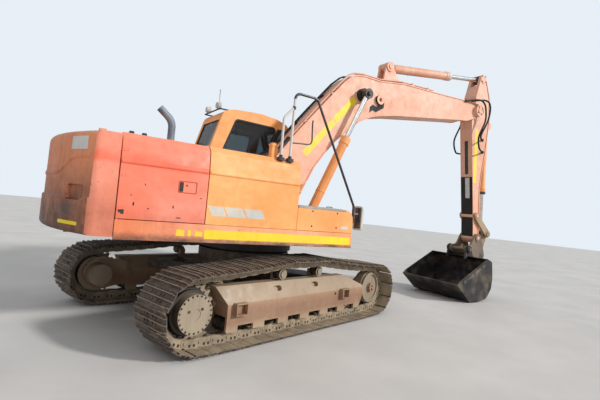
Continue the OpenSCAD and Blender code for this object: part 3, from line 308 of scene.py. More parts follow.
def add_camera():
    look = Vector((math.cos(RISE) * math.cos(BEARING), math.cos(RISE) * math.sin(BEARING), math.sin(RISE)))
    right = Vector((math.sin(BEARING), -math.cos(BEARING), 0.0))
    up = right.cross(look)
    across = math.cos(ROLL) * right + math.sin(ROLL) * up
    above = -math.sin(ROLL) * right + math.cos(ROLL) * up
    data = bpy.data.cameras.new("camera")
    data.sensor_fit = "HORIZONTAL"
    data.sensor_width = 36.0
    data.lens = 36.0 * FOCAL_PX / FRAME_PX
    data.clip_end = 400.0
    cam = bpy.data.objects.new("camera", data)
    cam.matrix_world = Matrix((
        (across.x, above.x, -look.x, CAMERA_AT.x),
        (across.y, above.y, -look.y, CAMERA_AT.y),
        (across.z, above.z, -look.z, CAMERA_AT.z),
        (0.0, 0.0, 0.0, 1.0)))
    scene.collection.objects.link(cam)
    scene.camera = cam


def add_light():
    world = bpy.data.worlds.new("world")
    scene.world = world
    world.use_nodes = True
    tree = world.node_tree
    back = tree.nodes["Background"]
    back.inputs["Color"].default_value = (0.86, 0.92, 1.0, 1.0)
    back.inputs["Strength"].default_value = 0.62
    seen = tree.nodes.new("ShaderNodeBackground")
    seen.inputs["Color"].default_value = (0.8, 0.86, 0.93, 1.0)
    seen.inputs["Strength"].default_value = 1.0
    path = tree.nodes.new("ShaderNodeLightPath")
    either = tree.nodes.new("ShaderNodeMath")
    either.operation = "MAXIMUM"
    tree.links.new(path.outputs["Is Camera Ray"], either.inputs[0])
    tree.links.new(path.outputs["Is Transmission Ray"], either.inputs[1])
    mix = tree.nodes.new("ShaderNodeMixShader")
    tree.links.new(either.outputs[0], mix.inputs["Fac"])
    tree.links.new(back.outputs[0], mix.inputs[1])
    tree.links.new(seen.outputs[0], mix.inputs[2])
    tree.links.new(mix.outputs[0], tree.nodes["World Output"].inputs["Surface"])
    for name, energy, angle, toward in (
        ("key", 2.9, 5.0, (0.6, -0.7, 0.46)),
        ("fill", 0.45, 50.0, (-0.5, -0.6, 0.9)),
    ):
        data = bpy.data.lights.new(name, "SUN")
        data.energy = energy
        data.angle = math.radians(angle)
        lamp = bpy.data.objects.new(name, data)
        lamp.rotation_euler = Vector(toward).to_track_quat("Z", "Y").to_euler()
        scene.collection.objects.link(lamp)


def add_floor():
    half = 60.0
    mesh = bpy.data.meshes.new("floor")
    corners = [(-half, -half, 0), (half, -half, 0), (half, half, 0), (-half, half, 0)]
    mesh.from_pydata(corners, [], [(0, 1, 2, 3)])
    floor = bpy.data.objects.new("floor", mesh)
    scene.collection.objects.link(floor)
    s = Shade("floor", rough=0.9)
    tone = s.mix(s.ramp(s.noise(0.8, 6.0), (0.3, 0.0), (0.7, 1.0)), (186, 182, 176), (200, 196, 190))
    mesh.materials.append(s.done(tone))


# Mesh helpers. Places are in metres in the frame of the part

def flat_y(u, v, w):
    """An outline in X and Z, w across"""
    return (u, w, v)


def flat_x(u, v, w):
    """An outline in Y and Z, w forward"""
    return (w, u, v)


def flat_z(u, v, w):
    """A plan outline in X and Y, w up"""
    return (u, v, w)


def prism(bm, outline, a, b, place=flat_y, second=(), third=()):
    """An outline drawn out from a to b. The sides numbered in second and third get those materials"""
    low = [bm.verts.new(place(u, v, a)) for u, v in outline]
    high = [bm.verts.new(place(u, v, b)) for u, v in outline]
    n = len(outline)
    for i in range(n):
        face = bm.faces.new((low[i], low[(i + 1) % n], high[(i + 1) % n], high[i]))
        face.material_index = 2 if i in third else int(i in second)
    bm.faces.new(low[::-1])
    bm.faces.new(high)


def ring(bm, outer, inner, a, b):
    """A flat frame, across the machine from a to b, between two outlines with the same number of points"""
    loops = [[bm.verts.new(flat_y(u, v, w)) for u, v in line] for line, w in
             ((outer, a), (outer, b), (inner, b), (inner, a))]
    n = len(outer)
    for k in range(4):
        p, q = loops[k], loops[(k + 1) % 4]
        for i in range(n):
            bm.faces.new((p[i], p[(i + 1) % n], q[(i + 1) % n], q[i]))


def across(axis):
    """Two directions at right angles to an axis"""
    axis = Vector(axis).normalized()
    side = axis.cross(Vector((0, 0, 1)) if abs(axis.z) < 0.9 else Vector((1, 0, 0))).normalized()
    return axis, side, axis.cross(side)


def lathe(bm, profile, at, axis, sides=24):
    """A turned shape: profile is (radius, height along the axis) from one end to the other"""
    axis, u, v = across(axis)
    at = Vector(at)
    rings = []
    for r, h in profile:
        if r < 1e-6:
            rings.append([bm.verts.new(at + axis * h)])
            continue
        angles = [2 * math.pi * i / sides for i in range(sides)]
        rings.append([bm.verts.new(at + axis * h + (u * math.cos(a) + v * math.sin(a)) * r) for a in angles])
    for p, q in zip(rings, rings[1:]):
        for i in range(sides):
            j = (i + 1) % sides
            loop = [p[i % len(p)], p[j % len(p)], q[j % len(q)], q[i % len(q)]]
            loop = [w for k, w in enumerate(loop) if w not in loop[:k]]
            if len(loop) > 2:
                bm.faces.new(loop)
    for ends in (rings[0], rings[-1]) if profile[0] != profile[-1] else ():
        if len(ends) > 2:
            bm.faces.new(ends)


def bolt(bm, at, axis, r, h, washer=True):
    """A hexagon head with a chamfered top, on a washer"""
    if washer:
        lathe(bm, [(r * 1.35, -0.001), (r * 1.35, h * 0.22)], at, axis, 12)
    lathe(bm, [(r, 0), (r, h * 0.85), (r * 0.82, h)], at, axis, 6)


def smooth_path(points, step=0.03):
    """Points on a smooth curve through the given ones"""
    pts = [Vector(p) for p in points]
    ends = [pts[0] * 2 - pts[1]] + pts + [pts[-1] * 2 - pts[-2]]
    line = []
    for a, b, c, d in zip(ends, ends[1:], ends[2:], ends[3:]):
        n = max(2, int((c - b).length / step))
        for i in range(n):
            t = i / n
            line.append(0.5 * ((2 * b) + (c - a) * t + (2 * a - 5 * b + 4 * c - d) * t * t
                               + (3 * b - a - 3 * c + d) * t ** 3))
    return line + [pts[-1]]


def tube(bm, line, r, sides=10):
    """A round tube along a line of points, closed at both ends"""
    line = [Vector(p) for p in line]
    axis, u, _ = across(line[1] - line[0])
    rings = []
    for i, p in enumerate(line):
        axis = (line[min(i + 1, len(line) - 1)] - line[max(i - 1, 0)]).normalized()
        u = (u - axis * u.dot(axis)).normalized()
        v = axis.cross(u)
        angles = [2 * math.pi * k / sides for k in range(sides)]
        rings.append([bm.verts.new(p + (u * math.cos(a) + v * math.sin(a)) * r) for a in angles])
    for p, q in zip(rings, rings[1:]):
        for k in range(sides):
            bm.faces.new((p[k], p[(k + 1) % sides], q[(k + 1) % sides], q[k]))
    bm.faces.new(rings[0][::-1])
    bm.faces.new(rings[-1])


def rounded(corners, steps=5):
    """A closed outline from (u, v) or (u, v, radius) corners"""
    line = []
    n = len(corners)
    for i, c in enumerate(corners):
        p = Vector(c[:2])
        r = c[2] if len(c) > 2 else 0
        if not r:
            line.append(tuple(p))
            continue
        a = (Vector(corners[i - 1][:2]) - p).normalized()
        b = (Vector(corners[(i + 1) % n][:2]) - p).normalized()
        half = math.acos(max(-1, min(1, a.dot(b)))) / 2
        mid = p + (a + b).normalized() * (r / math.sin(half))
        start = p + a * (r / math.tan(half)) - mid
        end = p + b * (r / math.tan(half)) - mid
        turn = math.atan2(start.x * end.y - start.y * end.x, start.dot(end))
        for k in range(steps + 1):
            t = turn * k / steps
            line.append((mid.x + start.x * math.cos(t) - start.y * math.sin(t),
                         mid.y + start.x * math.sin(t) + start.y * math.cos(t)))
    return line


def plate(u0, u1, v0, v1, r, steps=3):
    """A rectangle with rounded corners"""
    return rounded([(u0, v0, r), (u1, v0, r), (u1, v1, r), (u0, v1, r)], steps)


def piece(name, bm, material, body, bevel=0.0, sharp=35, slot=None, move=None, second=None, third=None):
    """Makes the object, softens its edges and lets it ride on its body"""
    bmesh.ops.remove_doubles(bm, verts=bm.verts, dist=0.00002)
    bmesh.ops.recalc_face_normals(bm, faces=bm.faces)
    if move is not None:
        bm.transform(move)
    mesh = bpy.data.meshes.new(name)
    bm.to_mesh(mesh)
    bm.free()
    mesh.shade_smooth()
    mesh.set_sharp_from_angle(angle=math.radians(sharp))
    mesh.materials.append(material)
    for other in (second, third):
        if other:
            mesh.materials.append(other)
    obj = bpy.data.objects.new(name, mesh)
    scene.collection.objects.link(obj)
    if bevel:
        m = obj.modifiers.new("edges", "BEVEL")
        m.width = bevel
        m.segments = 2
        m.limit_method = "ANGLE"
        m.angle_limit = math.radians(40)
        m.harden_normals = True
    if body:
        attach(obj, body)
    return obj


# Tracks: the path of the pins is the same as in the part

GAUGE = 2.4
SHOE_W = 0.6
SHOES = 49
SPROCKET = (-1.78, 0.44, 0.325)
IDLER = (1.733, 0.425, 0.31)
RUN_END = (1.33, 0.1)
CARRIERS = ((-0.396, 0.873), (0.349, 0.873))
TRACK_TURN = math.radians(15)
UNDER = Matrix.Rotation(TRACK_TURN, 4, "Z")


def track_pins():
    def bearing(c, r, p, side):
        d = (p[0] - c[0], p[1] - c[1])
        return math.degrees(math.atan2(d[1], d[0])) + side * math.degrees(math.acos(r / math.hypot(*d)))

    def arc(c, r, a, b):
        n = 24
        sweep = (a - b + 720) % 360
        turns = [math.radians(a - sweep * i / n) for i in range(n + 1)]
        return [(c[0] + r * math.cos(t), c[1] + r * math.sin(t)) for t in turns]

    def hang(p, q, sag, n):
        return [(p[0] + (q[0] - p[0]) * i / n, p[1] + (q[1] - p[1]) * i / n - 4 * sag * i / n * (1 - i / n))
                for i in range(1, n)]
    drive, idle = SPROCKET[:2], IDLER[:2]
    back = (-RUN_END[0], RUN_END[1])
    drive_arc = arc(drive, SPROCKET[2], bearing(drive, SPROCKET[2], back, -1),
                    bearing(drive, SPROCKET[2], CARRIERS[0], 1))
    idle_arc = arc(idle, IDLER[2], bearing(idle, IDLER[2], CARRIERS[1], -1),
                   bearing(idle, IDLER[2], RUN_END, 1))
    line = [RUN_END, back] + drive_arc + hang(drive_arc[-1], CARRIERS[0], 0.016, 8) + [CARRIERS[0]]
    line += hang(CARRIERS[0], CARRIERS[1], 0.006, 6) + [CARRIERS[1]]
    line += hang(CARRIERS[1], idle_arc[0], 0.016, 8) + idle_arc + [RUN_END]
    marks = [0.0]
    for p, q in zip(line, line[1:]):
        marks.append(marks[-1] + math.dist(p, q))
    pins = []
    for i in range(SHOES):
        d = marks[-1] * i / SHOES
        k = max(j for j in range(len(marks) - 1) if marks[j] <= d)
        t = (d - marks[k]) / max(marks[k + 1] - marks[k], 1e-9)
        pins.append(Vector((line[k][0] + (line[k + 1][0] - line[k][0]) * t,
                            line[k][1] + (line[k + 1][1] - line[k][1]) * t)))
    return pins


PINS = track_pins()
# Share of the pitch and height over the rails of one shoe's outer face, then of its inner face
SHOE_TOP = [(-0.11, 0.004), (0.0, 0.011), (0.06, 0.012), (0.085, 0.038), (0.125, 0.04), (0.165, 0.012),
            (0.44, 0.011), (0.475, 0.036), (0.515, 0.037), (0.555, 0.011), (0.82, 0.012), (0.855, 0.038),
            (0.895, 0.04), (0.93, 0.013), (1.02, 0.021), (1.12, 0.021)]
SHOE_UNDER = [(1.12, 0.0135), (1.02, 0.0125), (0.93, 0.003), (0.0, 0.0), (-0.11, -0.001)]
SHOE = SHOE_TOP + SHOE_UNDER
# Sides of that outline: the worn tips of the bars, and those that face inward
SHOE_TIPS = (3, 7, 11)
SHOE_INSIDE = (15, 16, 17, 18, 19, 20)
# Height of the links' rail over the pin line, which the shoes are bolted to
LINK_TOP = 0.06
LINK_PITCH = 0.194
# A dark strip of painted shade at the seam between two shoes, as share of the pitch and height from the pin
# line
SHOE_GAP = ((0.925, 0.0615), (0.975, 0.0725), (0.985, 0.0655), (0.935, 0.0575))
# A nut pocket in a link's side, filled with a dark block as painted shade, as share of the pitch and height
# from the pin line
NUT_POCKET = ((-0.07, 0.014), (0.07, 0.014), (0.06, 0.044), (-0.06, 0.044))
# One link's side outline: place along the pitch in metres from the rear pin, height from the pin line
LINK = [(-0.042, -0.02, 0.02), (-0.03, -0.046, 0.012), (0.055, -0.047, 0.01), (0.095, -0.04, 0.01),
        (0.222, -0.04, 0.012), (0.236, -0.022, 0.014), (0.236, 0.022, 0.014), (0.205, 0.04, 0.012),
        (0.178, 0.06, 0.006), (0.02, 0.06, 0.006), (-0.01, 0.044, 0.012), (-0.042, 0.022, 0.018)]


def add_track(name, side):
    shoes, links, nuts, gaps = bmesh.new(), bmesh.new(), bmesh.new(), bmesh.new()
    outline = rounded(LINK, 2)
    edge = SHOE_W / 2
    for i in range(SHOES):
        a, b = PINS[i], PINS[(i + 1) % SHOES]
        pitch = (b - a).length
        along = (b - a) / pitch
        out = Vector((-along.y, along.x))
        inner = 0.061 if i % 2 else 0.066

        def spot(s, h):
            return tuple(a + along * s + out * h)
        face = [spot(pitch * s, LINK_TOP + h) for s, h in SHOE]
        tip = [spot(pitch * (0.5 + (s - 0.5) * 0.93), LINK_TOP + min(h, 0.03)) for s, h in SHOE]
        link = [spot(s * pitch / LINK_PITCH if s > 0.1 else s, h) for s, h in outline]
        gap = [spot(pitch * s, h) for s, h in SHOE_GAP]
        for y in (-1, 1):
            prism(shoes, face, y * 0.0005, y * (edge - 0.03), flat_y, SHOE_TIPS, SHOE_INSIDE)
            prism(shoes, tip, y * (edge - 0.032), y * edge, flat_y, SHOE_TIPS, SHOE_INSIDE)
            for s in (0.31, 0.69):
                x, z = spot(pitch * s, 0.0725)
                for lane in (0.052, 0.106):
                    bolt(shoes, (x, y * lane, z), (out.x, 0, out.y), 0.0135, 0.014, washer=False)
            prism(links, link, y * inner, y * (inner + 0.028))
            lathe(links, [(0.018, 0.0), (0.018, 0.006), (0.014, 0.009)], (a.x, y * 0.095, a.y), (0, y, 0), 12)
            prism(gaps, gap, y * 0.112, y * 0.298)
            for s in (0.36, 0.66):
                pocket = [spot(pitch * (s + ds), h) for ds, h in NUT_POCKET]
                prism(nuts, pocket, y * 0.088, y * (inner + 0.0295))
        lathe(links, [(0.03, -0.062), (0.03, 0.062)], (a.x, 0, a.y), (0, 1, 0), 12)
    place = UNDER @ Matrix.Translation((0, side * GAUGE / 2, 0))
    more = {"slot": "track_steel", "move": place}
    shoe_piece = piece(name + "_shoes", shoes, TRACK, "undercarriage", second=TIPS, third=TRACK_IN, **more)
    # Painted shade at the seams between the shoes
    piece(name + "_shoe_gap_shade", gaps, GREASE_AND_SHADE, "undercarriage", **more)
    link_piece = piece(name + "_links", links, TRACK_IN, "undercarriage", **more)
    # Painted shade in the nut pockets of the links
    piece(name + "_nut_pocket_shade", nuts, GREASE_AND_SHADE, "undercarriage", **more)
    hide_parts(name)
    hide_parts(name)


def add_running_gear(side):
    """Bolts on the drive and the idler, and painted shade round the drive's drum"""
    bm = bmesh.new()
    tag = "left" if side > 0 else "right"
    place = UNDER @ Matrix.Translation((0, side * GAUGE / 2, 0))
    face = side * 0.203
    axis = (0, side, 0)
    for count, radius, out, size in ((22, 0.19, face, 0.0085), (22, 0.268, side * 0.026, 0.011)):
        for i in range(count):
            t = 2 * math.pi * (i + 0.5) / count
            at = (SPROCKET[0] + radius * math.cos(t), out, SPROCKET[1] + radius * math.sin(t))
            bolt(bm, at, axis, size, size)
    for t in (0.6, 2.7):
        at = (SPROCKET[0] + 0.09 * math.cos(t), face, SPROCKET[1] + 0.09 * math.sin(t))
        lathe(bm, [(0.014, 0.0), (0.014, 0.008), (0.01, 0.011)], at, axis, 10)
    for z in (-0.028, 0.028):
        bolt(bm, (IDLER[0], side * 0.12, IDLER[1] + z), axis, 0.012, 0.01)
    piece("drive_bolts_" + tag, bm, DARK_STEEL, "undercarriage", slot="dark_steel", move=place)
    # Painted shade round the foot of the drum, and a thin band of it further out
    bm = bmesh.new()
    for line in (((0.234, 0.02), (0.262, 0.02), (0.256, 0.031), (0.234, 0.036), (0.234, 0.02)),
                 ((0.234, 0.06), (0.2365, 0.06), (0.2365, 0.098), (0.234, 0.098), (0.234, 0.06))):
        lathe(bm, [(r, side * h) for r, h in line], (SPROCKET[0], 0, SPROCKET[1]), (0, 1, 0), 56)
    piece("drive_painted_shade_" + tag, bm, GREASE_AND_SHADE, "undercarriage", slot="dark_steel", move=place)


# Films and small parts laid on the CAD surfaces

def surface(node):
    """A tree of the faces of a CAD node, to lay things on"""
    mesh = NODES[node].data
    places = [v.co.copy() for v in mesh.vertices]
    return BVHTree.FromPolygons(places, [list(p.vertices) for p in mesh.polygons])


def film(bm, tree, rows, toward, lifts=None, thin=0.0015):
    """A closed thin film. rows hold start points, shot toward a direction until they meet the surface"""
    top, under = [], []
    for k, row in enumerate(rows):
        lift = lifts[k] if lifts else thin
        above, below = [], []
        for p in row:
            p = Vector(p)
            d = (toward(p) if callable(toward) else Vector(toward)).normalized()
            hit = tree.ray_cast(p, d)[0]
            if hit is None:
                raise ValueError("a film misses its surface at " + str(tuple(p)))
            above.append(bm.verts.new(hit - d * lift))
            below.append(bm.verts.new(hit + d * 0.002))
        top.append(above)
        under.append(below)
    n, m = len(rows), len(rows[0])
    for i in range(n - 1):
        for j in range(m - 1):
            bm.faces.new((top[i][j], top[i][j + 1], top[i + 1][j + 1], top[i + 1][j]))
            bm.faces.new((under[i][j], under[i + 1][j], under[i + 1][j + 1], under[i][j + 1]))
    rim = [(0, j) for j in range(m)] + [(i, m - 1) for i in range(1, n)]
    rim += [(n - 1, j) for j in range(m - 2, -1, -1)] + [(i, 0) for i in range(n - 2, 0, -1)]
    for (a, b), (c, d) in zip(rim, rim[1:] + rim[:1]):
        bm.faces.new((top[a][b], under[a][b], under[c][d], top[c][d]))


def laid(name, tree, rows, toward, material, body, lifts=None, thin=0.0015, **finish):
    """One film as a piece of its own"""
    bm = bmesh.new()
    film(bm, tree, rows, toward, lifts, thin)
    piece(name, bm, material, body, **finish)


def spread(a, b, n):
    return [a + (b - a) * i / n for i in range(n + 1)]


def side_rows(side, xs, zs, wobble=0.0, seed=1):
    """Rows of start points beside the machine, for films on its right (-1) or left (1) side"""
    rng = random.Random(seed)
    return [[(x, side * OUTSIDE, z + rng.uniform(-wobble, wobble)) for x in xs] for z in zs]


BOOM_FOOT = (0.22, 1.93)
BOOM_RISE = math.radians(23.86)
ARM_FALL = math.radians(81.7)


def in_boom(x, z, y=0.0):
    """A place on the boom: x from the foot pin toward the end pin, z up from that line"""
    cos, sin = math.cos(BOOM_RISE), math.sin(BOOM_RISE)
    return Vector((BOOM_FOOT[0] + x * cos - z * sin, y, BOOM_FOOT[1] + x * sin + z * cos))


TIP = in_boom(5.7, 0.0)


def in_arm(x, z, y=0.0):
    """A place on the arm: x from the boom's end pin down, z forward"""
    cos, sin = math.cos(ARM_FALL), math.sin(ARM_FALL)
    return Vector((TIP.x + x * cos + z * sin, y, TIP.z - x * sin + z * cos))


# Pins at the ends of the cylinders
LIFT_PIN = in_boom(2.33, 0.985)
ARM_BARREL_PIN = in_boom(3.31, 1.38)
ARM_ROD_PIN = in_arm(-0.773, 0.345)
BUCKET_BARREL_PIN = in_arm(0.3, 0.6)
BUCKET_ROD_PIN = in_arm(2.875, 0.4)


for track_name, track_side in (("track_left", 1), ("track_right", -1)):
    add_track(track_name, track_side)
    add_running_gear(track_side)


# Faces of CAD nodes that take a second finish

def repaint(node, material, test):
    """Gives the faces whose centre and normal pass the test another material"""
    mesh = NODES[node].data
    mesh.materials.append(material)
    index = len(mesh.materials) - 1
    for p in mesh.polygons:
        if test(p.center, p.normal):
            p.material_index = index


def near(c, axis_point, r):
    """Whether a place is within r of an axis that runs across the machine"""
    return math.hypot(c.x - axis_point.x, c.z - axis_point.z) < r


BACK_TO_TRACK = UNDER.inverted()


def drum_side(c, n):
    """Whether a face is on the side wall of the drive's drum"""
    q = BACK_TO_TRACK @ c
    m = BACK_TO_TRACK.to_3x3() @ n
    r = math.hypot(q.x - SPROCKET[0], q.z - SPROCKET[1])
    return 0.2 < r < 0.24 and (abs(m.y) < 0.5 or r > 0.209)


# Painted shade: the side wall of each drive's drum is given the dark material
for drive_tag in ("left", "right"):
    repaint("final_drive_" + drive_tag, DARK_PAINT_AND_SHADE, drum_side)
    repaint("rollers_" + drive_tag, DRIVE, lambda c, n: abs(n.z) < 0.2 and abs(n.x) < 0.5 and c.z > 0.6)
repaint("swing_frame", SKIRT, lambda c, n: c.z < SKIRT_TOP and (abs(c.y) > 1.285 or c.x > 1.0))
repaint("counterweight", WEIGHT_SIDE, lambda c, n: abs(n.y) > 0.75)
# Painted highlight: the handrail's uprights are made pale
repaint("handrails", PALE, lambda c, n: c.x < -0.085 and 2.26 < c.z < 3.03)
repaint("boom_pipes", FADED, lambda c, n: c.y < 0)
repaint("boom_pipes", RUBBER, lambda c, n: c.y > 0 and c.x < 2.9)
repaint("boom_cylinder_rods", DARK_PAINT_AND_SHADE, lambda c, n: near(c, LIFT_PIN, 0.13))
repaint("arm_cylinder_rod", DARK_PAINT_AND_SHADE, lambda c, n: near(c, ARM_ROD_PIN, 0.11))
repaint("bucket_cylinder_rod", DARK_PAINT_AND_SHADE, lambda c, n: near(c, BUCKET_ROD_PIN, 0.1))
repaint("boom", GREASE_AND_SHADE, lambda c, n: abs(c.y) > 0.216 and (
    near(c, LIFT_PIN, 0.13) or near(c, in_boom(2.73, 0.823), 0.1) and abs(n.y) < 0.9))
repaint("work_lamps", PALE, lambda c, n: c.z > 3.135 and c.x < -0.37 and abs(c.z - 3.2) < 0.07)


def soften(node, width):
    """Rounds the edges of a CAD node without touching its own mesh"""
    obj = NODES[node]
    weld = obj.modifiers.new("weld", "WELD")
    weld.merge_threshold = 0.00005
    m = obj.modifiers.new("edges", "BEVEL")
    m.width = width
    m.segments = 2
    m.limit_method = "ANGLE"
    m.angle_limit = math.radians(35)
    m.harden_normals = True


for soft_width, soft_nodes in (
    (0.003, "toolbox_lid"),
    (0.004, "boom arm bucket boom_cylinder_barrels arm_cylinder_barrel bucket_cylinder_barrel"),
    (0.006, "pump_door radiator_door house_panels rocker_links power_link quick_hitch cab_door"),
    (0.006, "track_frame_left track_frame_right"),
    (0.008, "toolbox side_cover engine_hood car_body"),
    (0.012, "tank"),
    (0.02, "counterweight"),
):
    for soft_node in soft_nodes.split():
        soften(soft_node, soft_width)


# Tapes, films and folds on the upper body

def add_body_films():
    rng = random.Random(3)
    skirt, door, tank, weight = (surface(n) for n in ("swing_frame", "pump_door", "tank", "counterweight"))
    for side, tag in SIDES:
        rows = side_rows(side, spread(-1.18, 0.985, 60), (1.168, 1.22, 1.272), 0.002, 4)
        laid("skirt_tape_" + tag, skirt, rows, (0, -side, 0), YELLOW, "upper_body")
        bm = bmesh.new()
        for a, b, n in ((-1.5, -1.41, 6), (-1.37, -1.335, 3), (-1.29, -1.205, 6)):
            low, high = 1.185 + rng.uniform(0, 0.01), 1.255 + rng.uniform(-0.01, 0.01)
            film(bm, skirt, side_rows(side, spread(a, b, n), (low, high), 0.004, 5), (0, -side, 0))
        piece("skirt_tape_rest_" + tag, bm, YELLOW, "upper_body")
    # Fold along the side panels, on each panel its own length
    for side, node, x0, x1, paint, body in (
        (-1, "pump_door", -2.118, -1.199, SALMON, "pump_bay_door"),
        (-1, "tank", -1.17, 0.047, ORANGE, "upper_body"),
        (1, "radiator_door", -2.118, -1.199, ORANGE, "radiator_bay_door"),
        (1, "side_cover", -1.17, -0.672, ORANGE, "upper_body"),
    ):
        rows = side_rows(side, spread(x0, x1, 12), (1.905, 1.912, 1.926, 1.934, 1.962))
        laid("fold_" + node, surface(node), rows, (0, -side, 0), paint, body, (0.0, 0.006, 0.009, 0.008, 0.0),
             sharp=50, slot="orange_paint")
    # Knocks through the paint of the pump door
    bm = bmesh.new()
    for x, z, w, h in (
        (-2.085, 1.416, 0.055, 0.03), (-2.07, 1.395, 0.03, 0.018), (-1.495, 1.385, 0.045, 0.012),
        (-1.56, 1.5, 0.014, 0.03), (-1.97, 1.5, 0.018, 0.034), (-1.82, 1.462, 0.016, 0.014),
        (-1.26, 1.62, 0.024, 0.01), (-2.0, 1.59, 0.01, 0.014), (-1.87, 1.71, 0.012, 0.02),
    ):
        rows = [[(x + w * (u - 0.5) + rng.uniform(-0.3, 0.3) * w * 0.4, -OUTSIDE,
                  z + h * (v - 0.5) + rng.uniform(-0.3, 0.3) * h * 0.4)
                 for u in spread(0.0, 1.0, 4)] for v in spread(0.0, 1.0, 3)]
        film(bm, door, rows, (0, 1, 0), thin=0.0008)
    piece("door_knocks", bm, DARK_PAINT_AND_SHADE, "pump_bay_door")
    bm = bmesh.new()
    for a, b in ((-1.168, -0.985), (-0.965, -0.735), (-0.715, -0.475)):
        rows = [[(x - lean, -OUTSIDE, z) for x in spread(a, b, 5)]
                for z, lean in ((1.436, -0.06), (1.49, -0.03), (1.548, 0.0))]
        film(bm, tank, rows, (0, 1, 0))
    piece("tank_stripes", bm, GREY_FILM, "upper_body")
    # Fold that runs round the corner from the side and dips toward the middle of the rear
    path = smooth_path([(1.3, 1.945, 0), (1.2, 1.944, 0), (1.05, 1.935, 0), (0.93, 1.89, 0), (0.82, 1.82, 0),
                        (0.66, 1.775, 0), (0.45, 1.76, 0), (0.0, 1.76, 0)], 0.04)
    for side, tag in SIDES:
        for name, start, n, heights, paint in (
            ("weight_tape_", 0.955, 20, (1.236, 1.254, 1.272), YELLOW),
            ("weight_reflector_", 1.035, 14, (2.005, 2.05, 2.09, 2.14), PALE),
        ):
            rows = [[(-2.95, side * y, z) for y in spread(start, 1.325, n)] for z in heights]
            laid(name + tag, weight, rows, (1.0, -0.18 * side, 0), paint, "upper_body")
        rows = [[(-3.0, side * q.x, q.y + dz) for q in path] for dz in (-0.03, -0.014, 0.0, 0.012, 0.042)]
        laid("weight_fold_" + tag, weight, rows, (1, 0, 0), WEIGHT, "upper_body",
             (0.0, 0.009, 0.012, 0.01, 0.0), sharp=60)


add_body_films()


# Latches, hinges and other small parts of the upper body

def add_latch(name, tree, x0, x1, z0, z1, side, paint, body):
    """A pull latch: a frame round a sunk plate, with a dark grip at the front and a lock"""
    y = tree.ray_cast(Vector((x0, side * OUTSIDE, (z0 + z1) / 2)), Vector((0, -side, 0)))[0].y
    bm = bmesh.new()
    inner = plate(x0 + 0.008, x1 - 0.008, z0 + 0.008, z1 - 0.008, 0.008)
    ring(bm, plate(x0, x1, z0, z1, 0.012), inner, y - side * 0.001, y + side * 0.005)
    lathe(bm, [(0.012, 0), (0.012, 0.006), (0.008, 0.008), (0.003, 0.008), (0.003, 0.005)],
          (x0 + (x1 - x0) * 0.45, y, z1 - (z1 - z0) * 0.35), (0, side, 0), 16)
    piece(name + "_frame", bm, paint, body, bevel=0.001)
    bm = bmesh.new()
    grip = plate(x0 + 0.014, x0 + 0.052, z0 + 0.014, z1 - 0.014, 0.008)
    prism(bm, grip, y - side * 0.001, y + side * 0.01)
    piece(name + "_grip", bm, PLASTIC, body, bevel=0.003)


def louvres(bm, x0, x1, z0, z1, count):
    """Pressed air slots in the left side: sloping hoods one above the other"""
    step = (z1 - z0) / count
    for i in range(count):
        z = z0 + i * step
        hood = ((-0.001, 0.0), (0.014, 0.12), (0.016, 0.22), (-0.001, 0.62))
        prism(bm, [(PANEL_Y + out, z + step * up) for out, up in hood], x0, x1, flat_x)


